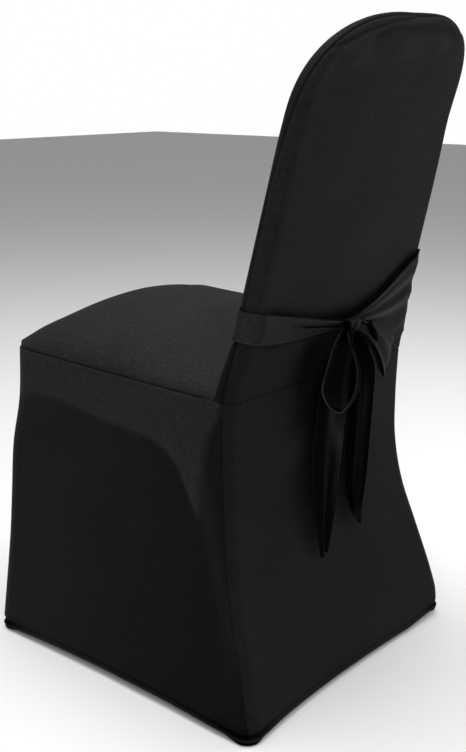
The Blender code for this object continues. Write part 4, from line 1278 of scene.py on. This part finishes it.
def tail_left_lightness(u, v):
    """Dark cloth with a slanting lit patch below the loop and a light hem on its right."""
    patch = 0.62 * hump(u - 0.45 - 0.22 * (0.5 - v), 0.050) * soft((0.85 - v) / 0.25)
    crest = 0.10 * hump(v - 0.62 - 0.05 * np.sin(6 * u), 0.10) * soft((u - 0.25) / 0.2)
    hem = (0.85 * hump(v, 0.022) + 0.25 * hump(v - 0.10, 0.05)) * (1 - soft((u - 0.62) / 0.15))
    return np.clip(patch + crest + hem - 0.03 + 0.16 * hump(v - 1, 0.022), DARKEST_SASH, 1.4)


def tail_right_lightness(u, v):
    """Dark cloth whose folds and hems catch a little light, more at its slanting cut end."""
    crest = 0.10 * hump(v - 0.27 - 0.05 * np.sin(6 * u), 0.08) + 0.05 * hump(v - 0.62, 0.10)
    end = 0.28 * soft((u - 0.84) / 0.08) * (0.6 + 0.4 * np.sin(40 * v + 30 * u))
    hem = 0.22 * hump(v - 1, 0.022)
    return np.clip(crest * soft((u - 0.25) / 0.2) + end - 0.08 + hem, DARKEST_SASH, 1.4)


def make_sash(satin, shaded_satin):
    made = {}
    band, light = sash_band()
    slot = "sash_knit"
    made["sash_band"] = piece("sash_band_cloth", band, satin, slot, light, wall=SASH_CLOTH, offset=1.0)
    knot, light = knot_shape()
    made["sash_knot"] = piece("sash_knot_cloth", knot, satin, slot, light, closed=True, flip=True, weld=True)
    for node, rows, along, across, anchor, waves, point, notch, finish, shade in (
        ("loop_left", LOOP_LEFT_ROWS, 200, 28, 0.0, 1.0, 0.0, 0.0, shaded_satin, loop_left_lightness),
        ("loop_right", LOOP_RIGHT_ROWS, 180, 44, 0.5, 1.4, 0.0, 0.0, satin, loop_right_lightness),
        ("tail_left", TAIL_LEFT_ROWS, 170, 52, 0.5, 1.0, 0.003, 0.012, shaded_satin, tail_left_lightness),
        ("tail_right", TAIL_RIGHT_ROWS, 170, 52, 0.5, 1.0, -0.008, 0.0, shaded_satin, tail_right_lightness),
    ):
        grid, u, v = ribbon(rows, along, across, anchor, waves, point, notch)
        if node == "loop_right":
            grid = moved(grid, -loop_right_folds(u, v))
        made[node] = piece(f"{node}_cloth", grid, finish, slot, shade(u, v), wall=SASH_CLOTH, offset=0.0)
    return made


def declare_sheets(made):
    """Works out the size each piece of cloth was cut to, before it was stretched over the chair, and does
    nothing more with it.
    """
    for node, cloth in made.items():
        if node == "sash_knot":
            continue
        width, length, area = worn_sizes[cloth.name]
        free = node.startswith(("loop", "tail", "foot"))
        stretch = 1.0 if free else STRETCH
        flat = (width / stretch, length / stretch)
        area = min(area / stretch**2, flat[0] * flat[1])


# The scene


def make_camera():
    azimuth, elevation = np.radians(VIEW_AZIMUTH), np.radians(VIEW_ELEVATION)
    level = np.cos(elevation)
    back = Vector((np.sin(azimuth) * level, -np.cos(azimuth) * level, np.sin(elevation)))
    camera = bpy.data.objects.new("camera", bpy.data.cameras.new("camera"))
    camera.data.lens = VIEW_LENS
    camera.data.sensor_width = SENSOR_WIDTH
    camera.location = Vector(VIEW_AIM) + back * VIEW_DISTANCE
    camera.rotation_euler = (-back).to_track_quat("-Z", "Y").to_euler()
    bpy.context.scene.collection.objects.link(camera)
    bpy.context.scene.camera = camera


def soft_light(name, at, towards, size, power):
    lamp = bpy.data.lights.new(name, "AREA")
    lamp.shape = "SQUARE"
    lamp.size = size
    lamp.energy = power
    made = bpy.data.objects.new(name, lamp)
    made.location = at
    made.rotation_euler = (Vector(towards) - Vector(at)).to_track_quat("-Z", "Y").to_euler()
    bpy.context.scene.collection.objects.link(made)


def make_studio():
    floor = bpy.data.objects.new("floor", bpy.data.meshes.new("floor"))
    corners = [(x * FLOOR_REACH, y * FLOOR_REACH, 0) for x, y in ((-1, -1), (1, -1), (1, 1), (-1, 1))]
    floor.data.from_pydata(corners, [], [(0, 1, 2, 3)])
    floor.data.materials.append(plain("pale_floor", FLOOR_COLOUR, 0.8))
    bpy.context.scene.collection.objects.link(floor)
    # The backdrop is white to the camera, and lights the cloth with a third of that
    world = bpy.data.worlds.new("studio")
    world.use_nodes = True
    nodes, links = world.node_tree.nodes, world.node_tree.links
    background = nodes["Background"]
    background.inputs["Color"].default_value = (1.0, 1.0, 1.0, 1.0)
    seen = nodes.new("ShaderNodeLightPath")
    strength = nodes.new("ShaderNodeMapRange")
    strength.inputs["To Min"].default_value = BACKDROP_LIGHT
    strength.inputs["To Max"].default_value = 1.0
    links.new(seen.outputs["Is Camera Ray"], strength.inputs["Value"])
    links.new(strength.outputs["Result"], background.inputs["Strength"])
    bpy.context.scene.world = world
    for light in LIGHTS:
        soft_light(*light)
    bpy.context.scene.view_settings.view_transform = "Standard"


def main():
    make_camera()
    make_studio()
    cloth = knit(
        "black_stretch_knit", dark=(0.0060, 0.0061, 0.0070), light=(0.0136, 0.0136, 0.0136),
        roughness=0.72, sheen=0.006, specular=0.06, wale=0.0011, shade_depth=0.8,
    )
    satin = knit(
        "black_sash_knit", dark=(0.0022, 0.0027, 0.0029), light=(0.0120, 0.0121, 0.0124),
        roughness=0.58, sheen=0.006, specular=0.06, wale=0.0009, shade_depth=-DARKEST_SASH,
    )
    # The sash's cloth in painted shade, darker and less glossy, for the left loop and the tails
    shaded_satin = knit(
        "black_sash_shaded", dark=(0.0015, 0.0023, 0.0025), light=(0.0160, 0.0162, 0.0166),
        roughness=0.80, sheen=0.0, specular=0.02, wale=0.0009, shade_depth=-DARKEST_SASH,
    )
    made = {**make_skirt(cloth), **make_body(cloth), **make_pockets(cloth), **make_sash(satin, shaded_satin)}
    for node, cloth_piece in made.items():
        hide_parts(node)
    declare_sheets(made)


main()
